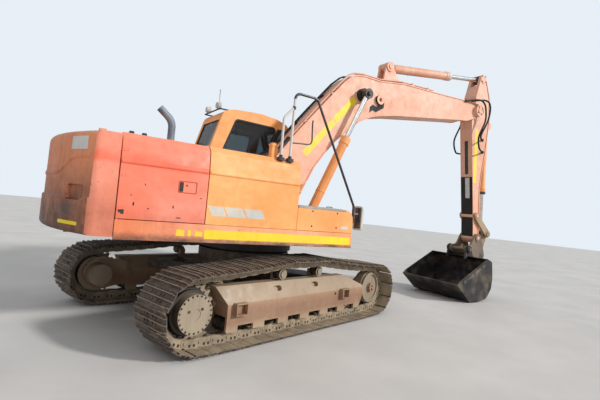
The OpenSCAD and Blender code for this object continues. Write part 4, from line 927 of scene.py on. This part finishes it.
def add_body_parts():
    right, left = surface("pump_door"), surface("radiator_door")
    add_latch("pump_latch", right, -1.522, -1.315, 1.664, 1.796, -1, LATCH, "pump_bay_door")
    add_latch("radiator_latch", left, -1.45, -1.315, 1.664, 1.78, 1, ORANGE, "radiator_bay_door")
    bm = bmesh.new()
    for x0, x1 in ((-2.04, -1.66), (-1.62, -1.5)):
        louvres(bm, x0, x1, 1.43, 1.86, 12)
    piece("radiator_louvres", bm, ORANGE, "radiator_bay_door", bevel=0.001, slot="orange_paint")
    # Hinge straps at the rear edges of the side doors
    for side, tag, paint in ((-1, "pump", SALMON), (1, "radiator", ORANGE)):
        bm = bmesh.new()
        for z in (1.46, 1.8, 2.06):
            y = side * (PANEL_Y if z < 1.93 else 1.339)
            strap = rounded([(-2.126, z - 0.028, 0.004), (-2.052, z - 0.022, 0.012),
                             (-2.052, z + 0.022, 0.012), (-2.126, z + 0.028, 0.004)], 3)
            prism(bm, strap, y - side * 0.012, y + side * 0.005)
            for x in (-2.104, -2.07):
                bolt(bm, (x, y + side * 0.005, z), (0, side, 0), 0.007, 0.005)
        piece(tag + "_hinges", bm, paint, tag + "_bay_door", bevel=0.001, slot="orange_paint")
    # Rubber stops along the top edge of the pump door
    bm = bmesh.new()
    for x in (-2.06, -1.93, -1.3):
        stop = rounded([(x, 2.228, 0.004), (x + 0.055, 2.228, 0.004), (x + 0.05, 2.262, 0.01),
                        (x + 0.005, 2.262, 0.01)], 3)
        prism(bm, stop, -1.225, -1.195)
    piece("door_stops", bm, PLASTIC, "upper_body", bevel=0.002)
    # Hinges of the hood, the slots pressed in it, and its grip
    bm = bmesh.new()
    strap = rounded([(-2.096, 2.216), (-2.1, 2.238), (-2.02, 2.326, 0.01), (-1.99, 2.34), (-1.97, 2.336)], 2)
    for y in (-0.3, 0.25, 0.8):
        lathe(bm, [(0.01, 0), (0.01, 0.09)], (-2.104, y - 0.045, 2.2053), (0, 1, 0), 16)
        prism(bm, strap, y - 0.03, y + 0.03)
    piece("hood_hinges", bm, DARK_PAINT_AND_SHADE, "hood", bevel=0.001)
    bm = bmesh.new()
    for row in range(2):
        for i in range(9):
            y = -0.36 + 0.6 * row + i * 0.055
            line = plate(-1.86, -1.4, y, y + 0.026, 0.008)
            low = [bm.verts.new((u, v, 2.334)) for u, v in line]
            peak = [bm.verts.new((u, v + (0.004 if v > y + 0.013 else 0.008), 2.346)) for u, v in line]
            n = len(low)
            for k in range(n):
                bm.faces.new((low[k], low[(k + 1) % n], peak[(k + 1) % n], peak[k]))
            bm.faces.new(peak)
            bm.faces.new(low[::-1])
    piece("hood_slots", bm, ORANGE, "hood", bevel=0.001, slot="orange_paint")
    bm = bmesh.new()
    grip = [(-1.215, 0.14, 2.3), (-1.19, 0.14, 2.33), (-1.185, 0.17, 2.338), (-1.185, 0.33, 2.338),
            (-1.19, 0.36, 2.33), (-1.215, 0.36, 2.3)]
    tube(bm, smooth_path(grip, 0.02), 0.008, 8)
    piece("hood_grip", bm, DARK_PAINT_AND_SHADE, "hood")


def add_tank_parts():
    # Filler neck with its cap, and covers on the tank's top
    bm = bmesh.new()
    prism(bm, plate(-0.36, -0.265, -1.245, -1.165, 0.02), 2.236, 2.385, flat_z)
    piece("filler_neck", bm, ORANGE, "upper_body", bevel=0.004, slot="orange_paint")
    bm = bmesh.new()
    prism(bm, plate(-0.368, -0.257, -1.252, -1.158, 0.022), 2.384, 2.412, flat_z)
    lathe(bm, [(0.045, 0), (0.045, 0.012), (0.036, 0.018)], (-0.3125, -1.205, 2.41), (0, 0, 1), 20)
    piece("filler_cap", bm, ORANGE, "upper_body", bevel=0.003, slot="orange_paint")
    bm = bmesh.new()
    for x, y, r in ((-0.86, -0.88, 0.075), (-0.5, -0.72, 0.05)):
        lathe(bm, [(r, 0), (r, 0.022), (r * 0.88, 0.03), (r * 0.55, 0.03), (r * 0.5, 0.04), (0, 0.042)],
              (x, y, 2.236), (0, 0, 1), 28)
        for k in range(6):
            t = math.pi * k / 3
            at = (x + r * 0.75 * math.cos(t), y + r * 0.75 * math.sin(t), 2.265)
            bolt(bm, at, (0, 0, 1), 0.006, 0.006)
    piece("tank_covers", bm, DARK_PAINT_AND_SHADE, "upper_body", bevel=0.001)
    # Feet of the handrails, and clips where the rear bar meets the main one
    bm = bmesh.new()
    for x in (-0.245, -0.11):
        prism(bm, plate(x - 0.045, x + 0.045, -1.335, -1.265, 0.01, 2), 2.205, 2.247, flat_z)
        lathe(bm, [(0.024, 0), (0.024, 0.03), (0.019, 0.036)], (x, RAIL_Y, 2.245), (0, 0, 1), 16)
        for dx in (-0.032, 0.032):
            bolt(bm, (x + dx, RAIL_Y, 2.247), (0, 0, 1), 0.008, 0.007)
    piece("handrail_feet", bm, RAIL, "upper_body", bevel=0.001)
    bm = bmesh.new()
    for r, x, z in ((0.024, -0.112, 2.915), (0.022, 1.048, 1.52)):
        lathe(bm, [(r, -0.02), (r, 0.02)], (x, RAIL_Y, z), (0, 0, 1), 14)
    piece("handrail_clips", bm, RAIL, "upper_body", bevel=0.001)


def add_toolbox_parts():
    bm = bmesh.new()
    for x0, x1 in ((0.09, 0.46), (0.48, 0.845)):
        for y0, y1 in ((-1.33, -0.95), (-0.93, -0.545)):
            prism(bm, plate(x0, x1, y0, y1, 0.015, 2), 1.658, 1.6625, flat_z)
            for x in spread(x0 + 0.03, x1 - 0.03, 6):
                for y in spread(y0 + 0.03, y1 - 0.03, 6):
                    lathe(bm, [(0.011, -0.001), (0.009, 0.004), (0.005, 0.005)], (x, y, 1.6625), (0, 0, 1), 8)
    piece("step_plates", bm, TREAD, "box_lid", bevel=0.0005, slot="tread_plate")
    bm = bmesh.new()
    grip = [(0.85, -1.05, 1.656), (0.854, -1.05, 1.676), (0.854, -1.03, 1.684), (0.854, -0.93, 1.684),
            (0.854, -0.91, 1.676), (0.85, -0.91, 1.656)]
    tube(bm, smooth_path(grip, 0.02), 0.006, 8)
    piece("lid_grip", bm, RAIL, "box_lid")
    # Bolts and a small blank plate on the toolbox's side
    bm = bmesh.new()
    for x in (0.3, 0.72):
        for z in (1.4, 1.6):
            bolt(bm, (x, -1.3525, z), (0, -1, 0), 0.009, 0.007)
    piece("toolbox_bolts", bm, DARK_PAINT_AND_SHADE, "upper_body")
    bm = bmesh.new()
    prism(bm, plate(0.8, 0.93, 1.385, 1.425, 0.004, 2), -1.3545, -1.352)
    piece("toolbox_plate", bm, PALE, "upper_body")


# Cab

CAB_OUT = 0.45
DOOR_OUT = 1.335
SEAT_Y = 0.9025
SEAT_Z = 1.3803
SIDE_WINDOW = [(-0.43, 2.03, 0.06), (-0.33, 2.49, 0.1), (-0.15, 3.005, 0.07), (0.64, 2.995, 0.07),
               (0.455, 2.48, 0.2), (0.4, 2.03, 0.06)]
FRONT_WINDOW = [(0.47, 2.03, 0.05), (0.52, 2.47, 0.2), (0.705, 2.985, 0.05), (0.772, 2.985, 0.04),
                (0.925, 2.6, 0.3), (1.075, 2.03, 0.05)]
DOOR_WINDOW = [(-0.42, 2.02, 0.05), (-0.35, 2.48, 0.1), (-0.215, 2.935, 0.06), (0.565, 2.925, 0.06),
               (0.495, 2.48, 0.2), (0.48, 2.02, 0.05)]
DOOR_LOW_WINDOW = [(-0.33, 1.48, 0.05), (-0.33, 1.9, 0.05), (0.47, 1.9, 0.05), (0.47, 1.48, 0.05)]
QUARTER_WINDOW = [(0.645, 2.03, 0.04), (0.665, 2.48, 0.2), (0.745, 2.985, 0.04), (0.785, 2.985, 0.04),
                  (0.93, 2.6, 0.3), (1.08, 2.03, 0.05)]


def grown(line, d):
    """An outline with each point moved out by d, or in when d is negative"""
    area = sum(a[0] * b[1] - b[0] * a[1] for a, b in zip(line, line[1:] + line[:1]))
    turn = 1 if area > 0 else -1
    out = []
    for i, p in enumerate(line):
        before, after = Vector(line[i - 1]), Vector(line[(i + 1) % len(line)])
        way = (after - before).normalized()
        out.append((p[0] + way.y * d * turn, p[1] - way.x * d * turn))
    return out


def window_rubber(bm, window, wall, glass_face):
    """The rubber round a pane: a lip on the glass and a bead against the edge of the opening"""
    line = rounded(window, 6)
    inner, edge = grown(line, -0.022), grown(line, 0.006)
    ring(bm, edge, inner, glass_face, wall + (0.003 if wall > 1 else -0.003))


def add_cab_parts():
    bm = bmesh.new()
    for window in (SIDE_WINDOW, FRONT_WINDOW):
        window_rubber(bm, window, CAB_OUT, CAB_OUT + 0.0095)
    window_rubber(bm, QUARTER_WINDOW, DOOR_OUT, DOOR_OUT - 0.0095)
    # Rubber strips round the windscreen and the rear pane
    for a, b in (((1.16, 2.032), (0.843, 2.99)), ((-0.522, 2.512), (-0.394, 2.96))):
        lean = Vector((b[0] - a[0], b[1] - a[1])).normalized()
        out = Vector((lean.y, -lean.x)) * (1 if a[0] > 0 else -1)
        for y in (0.528, 1.257):
            corners = ((a, -0.004), (a, 0.008), (b, 0.008), (b, -0.004))
            prism(bm, [tuple(Vector(end) + out * d) for end, d in corners], y - 0.014, y + 0.014)
    piece("window_rubbers", bm, RUBBER, "upper_body", bevel=0.002)
    bm = bmesh.new()
    for window in (DOOR_WINDOW, DOOR_LOW_WINDOW):
        window_rubber(bm, window, DOOR_OUT, DOOR_OUT - 0.0115)
    piece("door_rubbers", bm, RUBBER, "operator_door", bevel=0.002)
    # Dark trim over the pillar between the two windows
    bm = bmesh.new()
    pillar = rounded([(0.408, 2.04, 0.01), (0.463, 2.04, 0.01), (0.512, 2.475, 0.2), (0.698, 2.978, 0.01),
                      (0.648, 2.986, 0.01), (0.462, 2.48, 0.2)], 6)
    prism(bm, pillar, CAB_OUT + 0.0015, CAB_OUT - 0.0035)
    piece("pillar_trim", bm, RUBBER, "upper_body", bevel=0.0015)
    # Wiper on the windscreen
    bm = bmesh.new()
    up = Vector((-0.3127, 0, 0.9499))
    out = Vector((0.9499, 0, 0.3127))
    foot = Vector((1.158, 0.62, 2.03)) + up * 0.03 + out * 0.012
    aside = Vector((0, 0.05, 0))
    wiper_arm = [foot, foot + out * 0.014 + up * 0.05, foot + out * 0.016 + up * 0.36 + aside]
    tube(bm, smooth_path(wiper_arm, 0.04), 0.006, 8)
    blade = foot + out * 0.006 + up * 0.12 + aside
    tube(bm, [blade, blade + up * 0.26, blade + up * 0.52], 0.0065, 8)
    lathe(bm, [(0.022, -0.012), (0.022, 0.01), (0.014, 0.016)], foot, out, 16)
    piece("wiper", bm, RUBBER, "upper_body")
    # Door handle: a dark cup with a pull across it, and a lock
    bm = bmesh.new()
    cup = plate(0.33, 0.48, 1.935, 1.995, 0.02, 4)
    ring(bm, cup, grown(cup, -0.01), DOOR_OUT - 0.001, DOOR_OUT + 0.006)
    prism(bm, grown(cup, -0.01), DOOR_OUT - 0.001, DOOR_OUT + 0.0012)
    prism(bm, plate(0.35, 0.445, 1.955, 1.976, 0.008), DOOR_OUT, DOOR_OUT + 0.014)
    lathe(bm, [(0.008, 0), (0.008, 0.004), (0.003, 0.004), (0.003, 0.001)], (0.462, DOOR_OUT + 0.001, 1.965),
          (0, 1, 0), 14)
    piece("door_handle", bm, PLASTIC, "operator_door", bevel=0.0015)
    # Roof hatch with a raised rim
    bm = bmesh.new()
    roof = surface("cab_shell")
    for grow, lifts in ((0.0, (0.0, 0.012, 0.012, 0.0)), (0.04, (0.0, 0.022, 0.022, 0.0))):
        xs = (-0.12 + grow, -0.1 + grow, 0.42 - grow, 0.44 - grow)
        rows = [[(x, y, 3.6) for y in spread(0.64 + grow, 1.15 - grow, 12)] for x in xs]
        film(bm, roof, rows, (0, 0, -1), lifts=lifts)
    piece("roof_hatch", bm, ORANGE, "upper_body", bevel=0.002, slot="orange_paint")
    # Lenses and rims of the work lamps
    rims, lenses = bmesh.new(), bmesh.new()
    for y in (1.09, 0.62):
        at = (-0.3805, y, 3.2)
        rim = [(0.04, -0.002), (0.046, -0.002), (0.046, 0.006), (0.04, 0.006), (0.04, -0.002)]
        lathe(rims, rim, at, (1, 0, 0), 28)
        lathe(lenses, [(0.04, -0.001), (0.04, 0.002), (0.026, 0.007), (0.0, 0.009)], at, (1, 0, 0), 28)
    piece("lamp_rims", rims, PLASTIC, "upper_body")
    piece("lamp_lenses", lenses, LENS, "upper_body")
    # Monitor on a stalk at the front pillar, its screen dark
    bm = bmesh.new()
    case = rounded([(0.66, 1.9, 0.014), (0.7, 1.892, 0.014), (0.735, 2.08, 0.014), (0.695, 2.088, 0.014)], 3)
    prism(bm, case, 0.56, 0.79)
    stalk = [(0.7, 0.675, 1.905), (0.715, 0.675, 1.8), (0.76, 0.65, 1.7), (0.8, 0.6, 1.44)]
    tube(bm, smooth_path(stalk, 0.03), 0.014)
    piece("monitor", bm, PLASTIC, "upper_body", bevel=0.004)


def in_seat(x, y, z):
    """A place measured from the seat's foot"""
    return (x, SEAT_Y + y, SEAT_Z + z)


def pad(name, line, half, puff, places):
    """A stuffed pad from a side outline: full in the middle, drawn in toward the seams at its sides.
    places are shares of the half width where the outline changes, with how far it is drawn in there"""
    bm = bmesh.new()
    n = len(line)
    mid = Vector((sum(p[0] for p in line) / n, sum(p[1] for p in line) / n))
    rings = []
    for share, draw in places:
        loop = []
        for q in line:
            p = Vector(q)
            p += (p - mid).normalized() * (puff - draw)
            loop.append(bm.verts.new(in_seat(p.x, half * share, p.y)))
        rings.append(loop)
    for a, b in zip(rings, rings[1:]):
        for i in range(n):
            bm.faces.new((a[i], a[(i + 1) % n], b[(i + 1) % n], b[i]))
    bm.faces.new(rings[0][::-1])
    bm.faces.new(rings[-1])
    obj = piece(name, bm, FABRIC, "upper_body", sharp=180, slot="seat_fabric")
    smooth = obj.modifiers.new("round", "SUBSURF")
    smooth.levels = smooth.render_levels = 2
    return obj


def both_ways(half):
    """Places across a pad, from those on one half"""
    return [(-share, draw) for share, draw in half] + half[::-1]


def add_seat():
    seams = both_ways([(0.98, 0.03), (0.9, 0.004), (0.62, -0.012), (0.5, 0.01), (0.46, 0.014), (0.2, 0.003)])
    cushion = pad("seat_cushion", [
        (-0.19, 0.31), (-0.2, 0.4), (-0.1, 0.425), (0.1, 0.432), (0.25, 0.44), (0.335, 0.42), (0.345, 0.34),
        (0.29, 0.31), (0.05, 0.305)], 0.25, 0.004, seams)
    back = pad("seat_back", [
        (-0.185, 0.42), (-0.225, 0.6), (-0.275, 0.8), (-0.32, 0.97), (-0.275, 1.005), (-0.225, 0.99),
        (-0.175, 0.82), (-0.125, 0.62), (-0.085, 0.45), (-0.13, 0.415)], 0.24, 0.004, seams)
    head = pad("seat_headrest", [
        (-0.325, 1.02), (-0.35, 1.1), (-0.365, 1.17), (-0.325, 1.2), (-0.28, 1.19), (-0.258, 1.1),
        (-0.245, 1.03), (-0.285, 1.01)], 0.14, 0.002, both_ways([(0.97, 0.03), (0.86, 0.004), (0.4, -0.004)]))
    # Piping along the seams of the cushion and the back
    bm = bmesh.new()
    top = [(-0.185, 0.415), (-0.1, 0.432), (0.1, 0.44), (0.25, 0.446), (0.33, 0.424), (0.342, 0.36)]
    front = [(-0.1, 0.45), (-0.125, 0.62), (-0.175, 0.82), (-0.228, 0.985), (-0.275, 1.004)]
    for y in (-0.243, 0.243):
        tube(bm, smooth_path([in_seat(x, y, z) for x, z in top]), 0.005, 8)
        tube(bm, smooth_path([in_seat(x, y * 0.96, z) for x, z in front]), 0.005, 8)
    piping = piece("seat_piping", bm, RUBBER, "upper_body", slot="seat_fabric")
    # Sprung base with its cover in folds, a pan under the cushion, and head posts
    bm = bmesh.new()
    prism(bm, plate(-0.16, 0.24, -0.17, 0.17, 0.02), 0, 0.04, in_seat)
    for k in range(8):
        z = 0.04 + k * 0.028
        r = 0.0 if k % 2 else 0.018
        prism(bm, plate(-0.12 - r, 0.2 + r, -0.13 - r, 0.13 + r, 0.04), z - 0.001, z + 0.029, in_seat)
    pan = rounded([(-0.18, 0.268), (0.28, 0.268), (0.3, 0.29, 0.01), (0.3, 0.303), (-0.19, 0.303)], 2)
    prism(bm, pan, -0.215, 0.215, lambda u, v, w: in_seat(u, w, v))
    for y in (-0.07, 0.07):
        tube(bm, [in_seat(-0.3, y, 0.93), in_seat(-0.302, y, 0.99), in_seat(-0.305, y, 1.08)], 0.007, 8)
    base = piece("seat_base", bm, PLASTIC, "upper_body", bevel=0.003, slot="dark_plastic")
    for obj in (cushion, back, head, piping, base):
        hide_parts("seat")


# Boom, arm and bucket

def along_boom(a, b, n, wide, side):
    """Rows of start points beside the boom, for a film between two places given in X and Z"""
    a, b = Vector(a), Vector(b)
    way = (b - a).normalized()
    off = Vector((-way.y, way.x)) * wide / 2
    places = [[a + (b - a) * i / n + off * k for i in range(n + 1)] for k in (-1, -0.33, 0.33, 1)]
    return [[(q.x, side * 0.9, q.y) for q in row] for row in places]


def add_pin_bolts(name, body, pins, first, size):
    """Four bolts on each end of some pins. A pin has its centre, how far out its face is, and the radius"""
    bm = bmesh.new()
    for side in (-1, 1):
        for at, face, r in pins:
            for k in range(4):
                t = math.pi * k / 2 + first
                place = (at.x + r * math.cos(t), side * face, at.z + r * math.sin(t))
                bolt(bm, place, (0, side, 0), size, size - 0.001)
    piece(name, bm, DARK_PAINT_AND_SHADE, body, slot="dark_steel")


def collar(bm, a, b, start, end, inner, outer):
    """A raised ring round a cylinder that runs from a toward b, start and end measured from a"""
    axis = (b - a).normalized()
    step = min(0.012, (end - start) * 0.3)
    line = [(inner, start), (outer - step, start), (outer, start + step), (outer, end - step),
            (outer - step, end), (inner, end), (inner, start)]
    lathe(bm, line, a, axis, 40)


def add_boom_parts():
    boom = surface("boom")
    for side, tag in SIDES:
        for name, rows, paint in (
            ("boom_tape_", along_boom((1.4, 3.205), (1.8, 3.68), 8, 0.125, side), YELLOW),
            ("boom_tape_low_", along_boom((0.83, 2.53), (1.385, 3.19), 12, 0.12, side), OLD_YELLOW),
        ):
            laid(name + tag, boom, rows, (0, -side, 0), paint, "boom_group")
    # A dark patch behind the rear boss: painted shadow of the boss
    shadow_patch = ((2.17, 3.56), (2.24, 3.62), (2.33, 3.6), (2.42, 3.66), (2.52, 3.72))
    rows = [[(x, -0.9, z + dz) for x, z in shadow_patch] for dz in (-0.055, 0.0, 0.055)]
    laid("boss_painted_shadow", boom, rows, (0, 1, 0), GREASE_AND_SHADE, "boom_group")
    pins = ((in_boom(0, 0), 0.231, 0.11), (TIP, 0.281, 0.09), (LIFT_PIN, 0.293, 0.07))
    add_pin_bolts("boom_pin_bolts", "boom_group", pins, 0.6, 0.012)
    # Bolts of the pipe brackets
    bm = bmesh.new()
    for x, z in ((1.0, 0.8), (1.7, 1.165), (3.72, 0.955), (4.15, 0.795)):
        for y in (-0.205, -0.095, 0.095, 0.205):
            bolt(bm, in_boom(x, z, y), (-0.2, 0, 1), 0.009, 0.012)
    piece("pipe_bolts", bm, DARK_STEEL, "boom_group")


def add_cylinder_parts():
    bm, glands = bmesh.new(), bmesh.new()
    for y in (-0.355, 0.355):
        foot = Vector((0.88, y, 1.42))
        top = Vector((LIFT_PIN.x, y, LIFT_PIN.z))
        collar(bm, foot, top, 1.5, 1.642, 0.074, 0.088)
        collar(bm, foot, top, 0.55, 0.585, 0.074, 0.082)
        collar(glands, foot, top, 1.636, 1.652, 0.046, 0.068)
    piece("boom_barrel_collars", bm, BARREL, "boom_barrels", slot="orange_paint")
    piece("boom_barrel_glands", glands, DARK_PAINT_AND_SHADE, "boom_barrels")
    bm, glands = bmesh.new(), bmesh.new()
    a, b = ARM_BARREL_PIN, ARM_ROD_PIN
    collar(bm, a, b, 1.76, 1.83, 0.083, 0.093)
    collar(bm, a, b, 0.62, 0.66, 0.083, 0.09)
    collar(glands, a, b, 1.835, 1.942, 0.051, 0.096)
    axis, u, v = across(b - a)
    for k in range(8):
        t = math.pi * k / 4
        at = a + axis * 1.942 + (u * math.cos(t) + v * math.sin(t)) * 0.078
        bolt(glands, at, axis, 0.009, 0.009, washer=False)
    piece("arm_barrel_collars", bm, FADED, "arm_barrel", slot="orange_paint")
    piece("arm_barrel_gland", glands, PALE, "arm_barrel")
    bm, glands = bmesh.new(), bmesh.new()
    collar(bm, BUCKET_BARREL_PIN, BUCKET_ROD_PIN, 1.48, 1.55, 0.072, 0.082)
    collar(glands, BUCKET_BARREL_PIN, BUCKET_ROD_PIN, 1.555, 1.632, 0.044, 0.084)
    piece("bucket_barrel_collar", bm, BARREL, "bucket_barrel", slot="orange_paint")
    piece("bucket_barrel_gland", glands, DARK_PAINT_AND_SHADE, "bucket_barrel")


def add_arm_parts():
    arm = surface("arm")
    for side, tag in SIDES:
        rows = [[in_arm(x, z - 0.085 * (x - 0.4), side * 0.9) for x in spread(0.4, 1.64, 16)]
                for z in (0.02, 0.06, 0.1, 0.135)]
        laid("arm_tape_" + tag, arm, rows, (0, -side, 0), OLD_YELLOW, "arm_group")
    # A dark strip down the rear face, and the dark lower plate with a small blank plate
    for name, ys, zs, thin, paint in (
        ("arm_dark_strip", (-0.045, -0.02, 0.015, 0.04), spread(2.8, 3.56, 8), 0.0015, DARK_PAINT_AND_SHADE),
        ("arm_rear_plate", spread(-0.148, 0.148, 4), spread(1.3, 2.74, 12), 0.0015, GREASE_AND_SHADE),
        ("arm_blank_plate", spread(-0.075, 0.035, 2), (2.25, 2.45, 2.72), 0.004, PALE),
    ):
        laid(name, arm, [[(4.6, y, z) for y in ys] for z in zs], (1, 0, 0), paint, "arm_group", thin=thin)
    pins = ((TIP, 0.156, 0.12), (in_arm(2.92, 0.0), 0.156, 0.075), (ARM_ROD_PIN, 0.156, 0.085))
    add_pin_bolts("arm_pin_bolts", "arm_group", pins, 0.9, 0.011)
    # Pipes along the arm's front to the bucket cylinder
    bm = bmesh.new()
    for y, run in ((-0.105, 0.0), (-0.07, 0.05)):
        places = ((0.62 + run, 0.275), (0.75, 0.3), (1.25, 0.262), (1.6 + run, 0.236))
        tube(bm, smooth_path([in_arm(x, z, y) for x, z in places], 0.05), 0.011)
    piece("arm_pipes", bm, DARK_PAINT_AND_SHADE, "arm_group")


def add_bucket_parts():
    bucket = surface("bucket")
    bm = bmesh.new()
    for side in (-1, 1):
        a, b = Vector((4.66, 0.485)), Vector((5.36, 0.845))
        way = (b - a).normalized()
        down = Vector((way.y, -way.x))
        rows = [[(q.x, side * 0.95, q.y) for q in (a + (b - a) * i / 10 + down * k for i in range(11))]
                for k in (0.02, 0.045, 0.085)]
        film(bm, bucket, rows, (0, -side, 0), thin=0.01)
        for i in (0.15, 0.5, 0.85):
            q = a + (b - a) * i + down * 0.052
            bolt(bm, (q.x, side * 0.741, q.y), (0, side, 0), 0.016, 0.014)
    piece("side_cutters", bm, EDGE_STEEL, "bucket_group", slot="bucket_steel")
    bm = bmesh.new()
    for y in (-0.52, -0.18, 0.18, 0.52):
        rows = [[(5.2 + 0.9 * math.cos(t), y + dy, 0.55 + 0.9 * math.sin(t)) for t in spread(-2.15, 0.1, 22)]
                for dy in (-0.032, -0.03, 0.03, 0.032)]
        film(bm, bucket, rows, lambda p: Vector((5.2 - p.x, 0, 0.55 - p.z)), lifts=(0.0, 0.012, 0.012, 0.0))
    piece("wear_straps", bm, BUCKET, "bucket_group", slot="bucket_steel")


# Hoses

ARM_HOSE_R = 0.019
FOOT_HOSE_R = 0.015
# Routes in X and Z. The long one is that of the outer hose at the arm's head, on both sides
LONG_ROUTE = [(4.955, 4.382), (5.314, 4.445), (5.529, 4.392), (5.599, 4.201), (5.586, 3.992), (5.398, 3.609),
              (5.468, 3.356), (5.612, 3.318), (5.8, 3.335)]
SHORT_ROUTE = [(5.18, 4.434), (5.518, 4.471), (5.692, 4.366), (5.649, 4.046), (5.426, 3.654), (5.5, 3.548),
               (5.79, 3.64)]
FOOT_ROUTE = [(-0.26, 1.28), (-0.265, 1.6), (-0.25, 1.9), (-0.19, 2.12), (-0.05, 2.3), (0.15, 2.43),
              (0.34, 2.54), (0.46, 2.665), (0.533, 2.755)]


def hose(name, points, r):
    """A rubber hose on a smooth path between two bodies"""
    line = smooth_path(points)
    bm = bmesh.new()
    tube(bm, line, r, 12)
    obj = piece(name, bm, RUBBER, None, slot="dark_plastic")
    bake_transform(obj)
    return line


def fitting(bm, line, r, last=False):
    """A crimped ferrule and a nut at one end of a hose"""
    a, b = (line[-1], line[-3]) if last else (line[0], line[2])
    axis = (b - a).normalized()
    lathe(bm, [(r * 1.25, -0.004), (r * 1.25, 0.04), (r * 1.12, 0.046)], a, axis, 14)
    lathe(bm, [(r * 1.6, -0.006), (r * 1.6, 0.016)], a, axis, 6)


def add_hoses():
    near_ends, far_ends = bmesh.new(), bmesh.new()
    for name, y, route in (("arm_hose_1", -0.318, LONG_ROUTE), ("arm_hose_2", -0.352, SHORT_ROUTE),
                           ("arm_hose_3", 0.318, LONG_ROUTE)):
        side = 1 if y > 0 else -1
        (x0, z0), (x1, z1) = route[0], route[-1]
        points = [(x, y, z) for x, z in route[1:-1]]
        points = [(x0, side * 0.224, z0 - 0.02)] + points + [(x1, side * 0.164, z1)]
        line = hose(name, points, ARM_HOSE_R)
        fitting(near_ends, line, ARM_HOSE_R)
        fitting(far_ends, line, ARM_HOSE_R, last=True)
    piece("arm_hose_ends_boom", near_ends, DARK_STEEL, "boom_group")
    piece("arm_hose_ends_arm", far_ends, DARK_STEEL, "arm_group")
    near_ends, far_ends = bmesh.new(), bmesh.new()
    for i, y in enumerate((-0.172, -0.128, 0.128, 0.172)):
        line = hose("foot_hose_%d" % (i + 1), [(x, y, z) for x, z in FOOT_ROUTE], FOOT_HOSE_R)
        fitting(near_ends, line, FOOT_HOSE_R)
        fitting(far_ends, line, FOOT_HOSE_R, last=True)
    piece("foot_hose_ends_body", near_ends, DARK_STEEL, "upper_body")
    piece("foot_hose_ends_boom", far_ends, DARK_STEEL, "boom_group")


def add_rail_parts():
    # Small hoop at the foot of the rail, and the mirror's face
    bm = bmesh.new()
    hoop = [(-0.1, -1.3, 2.452), (-0.073, -1.298, 2.462), (0.08, -1.29, 2.478), (0.176, -1.285, 2.486),
            (0.224, -1.28, 2.53), (0.222, -1.275, 2.65), (0.219, -1.27, 2.762), (0.221, -1.268, 2.822)]
    tube(bm, smooth_path(hoop, 0.02), 0.01)
    piece("rail_hoop", bm, RAIL, "upper_body")
    face = [[(0.9, y, z) for y in spread(-1.418, -1.302, 6)] for z in spread(1.41, 1.71, 8)]
    laid("mirror_face", surface("side_mirror"), face, (1, 0.14, 0), MIRROR, "upper_body", thin=0.002)


add_body_parts()
add_tank_parts()
add_toolbox_parts()
add_cab_parts()
add_seat()
add_boom_parts()
add_cylinder_parts()
add_arm_parts()
add_bucket_parts()
add_hoses()
add_rail_parts()

add_camera()
add_light()
add_floor()
scene.view_settings.view_transform = "Standard"
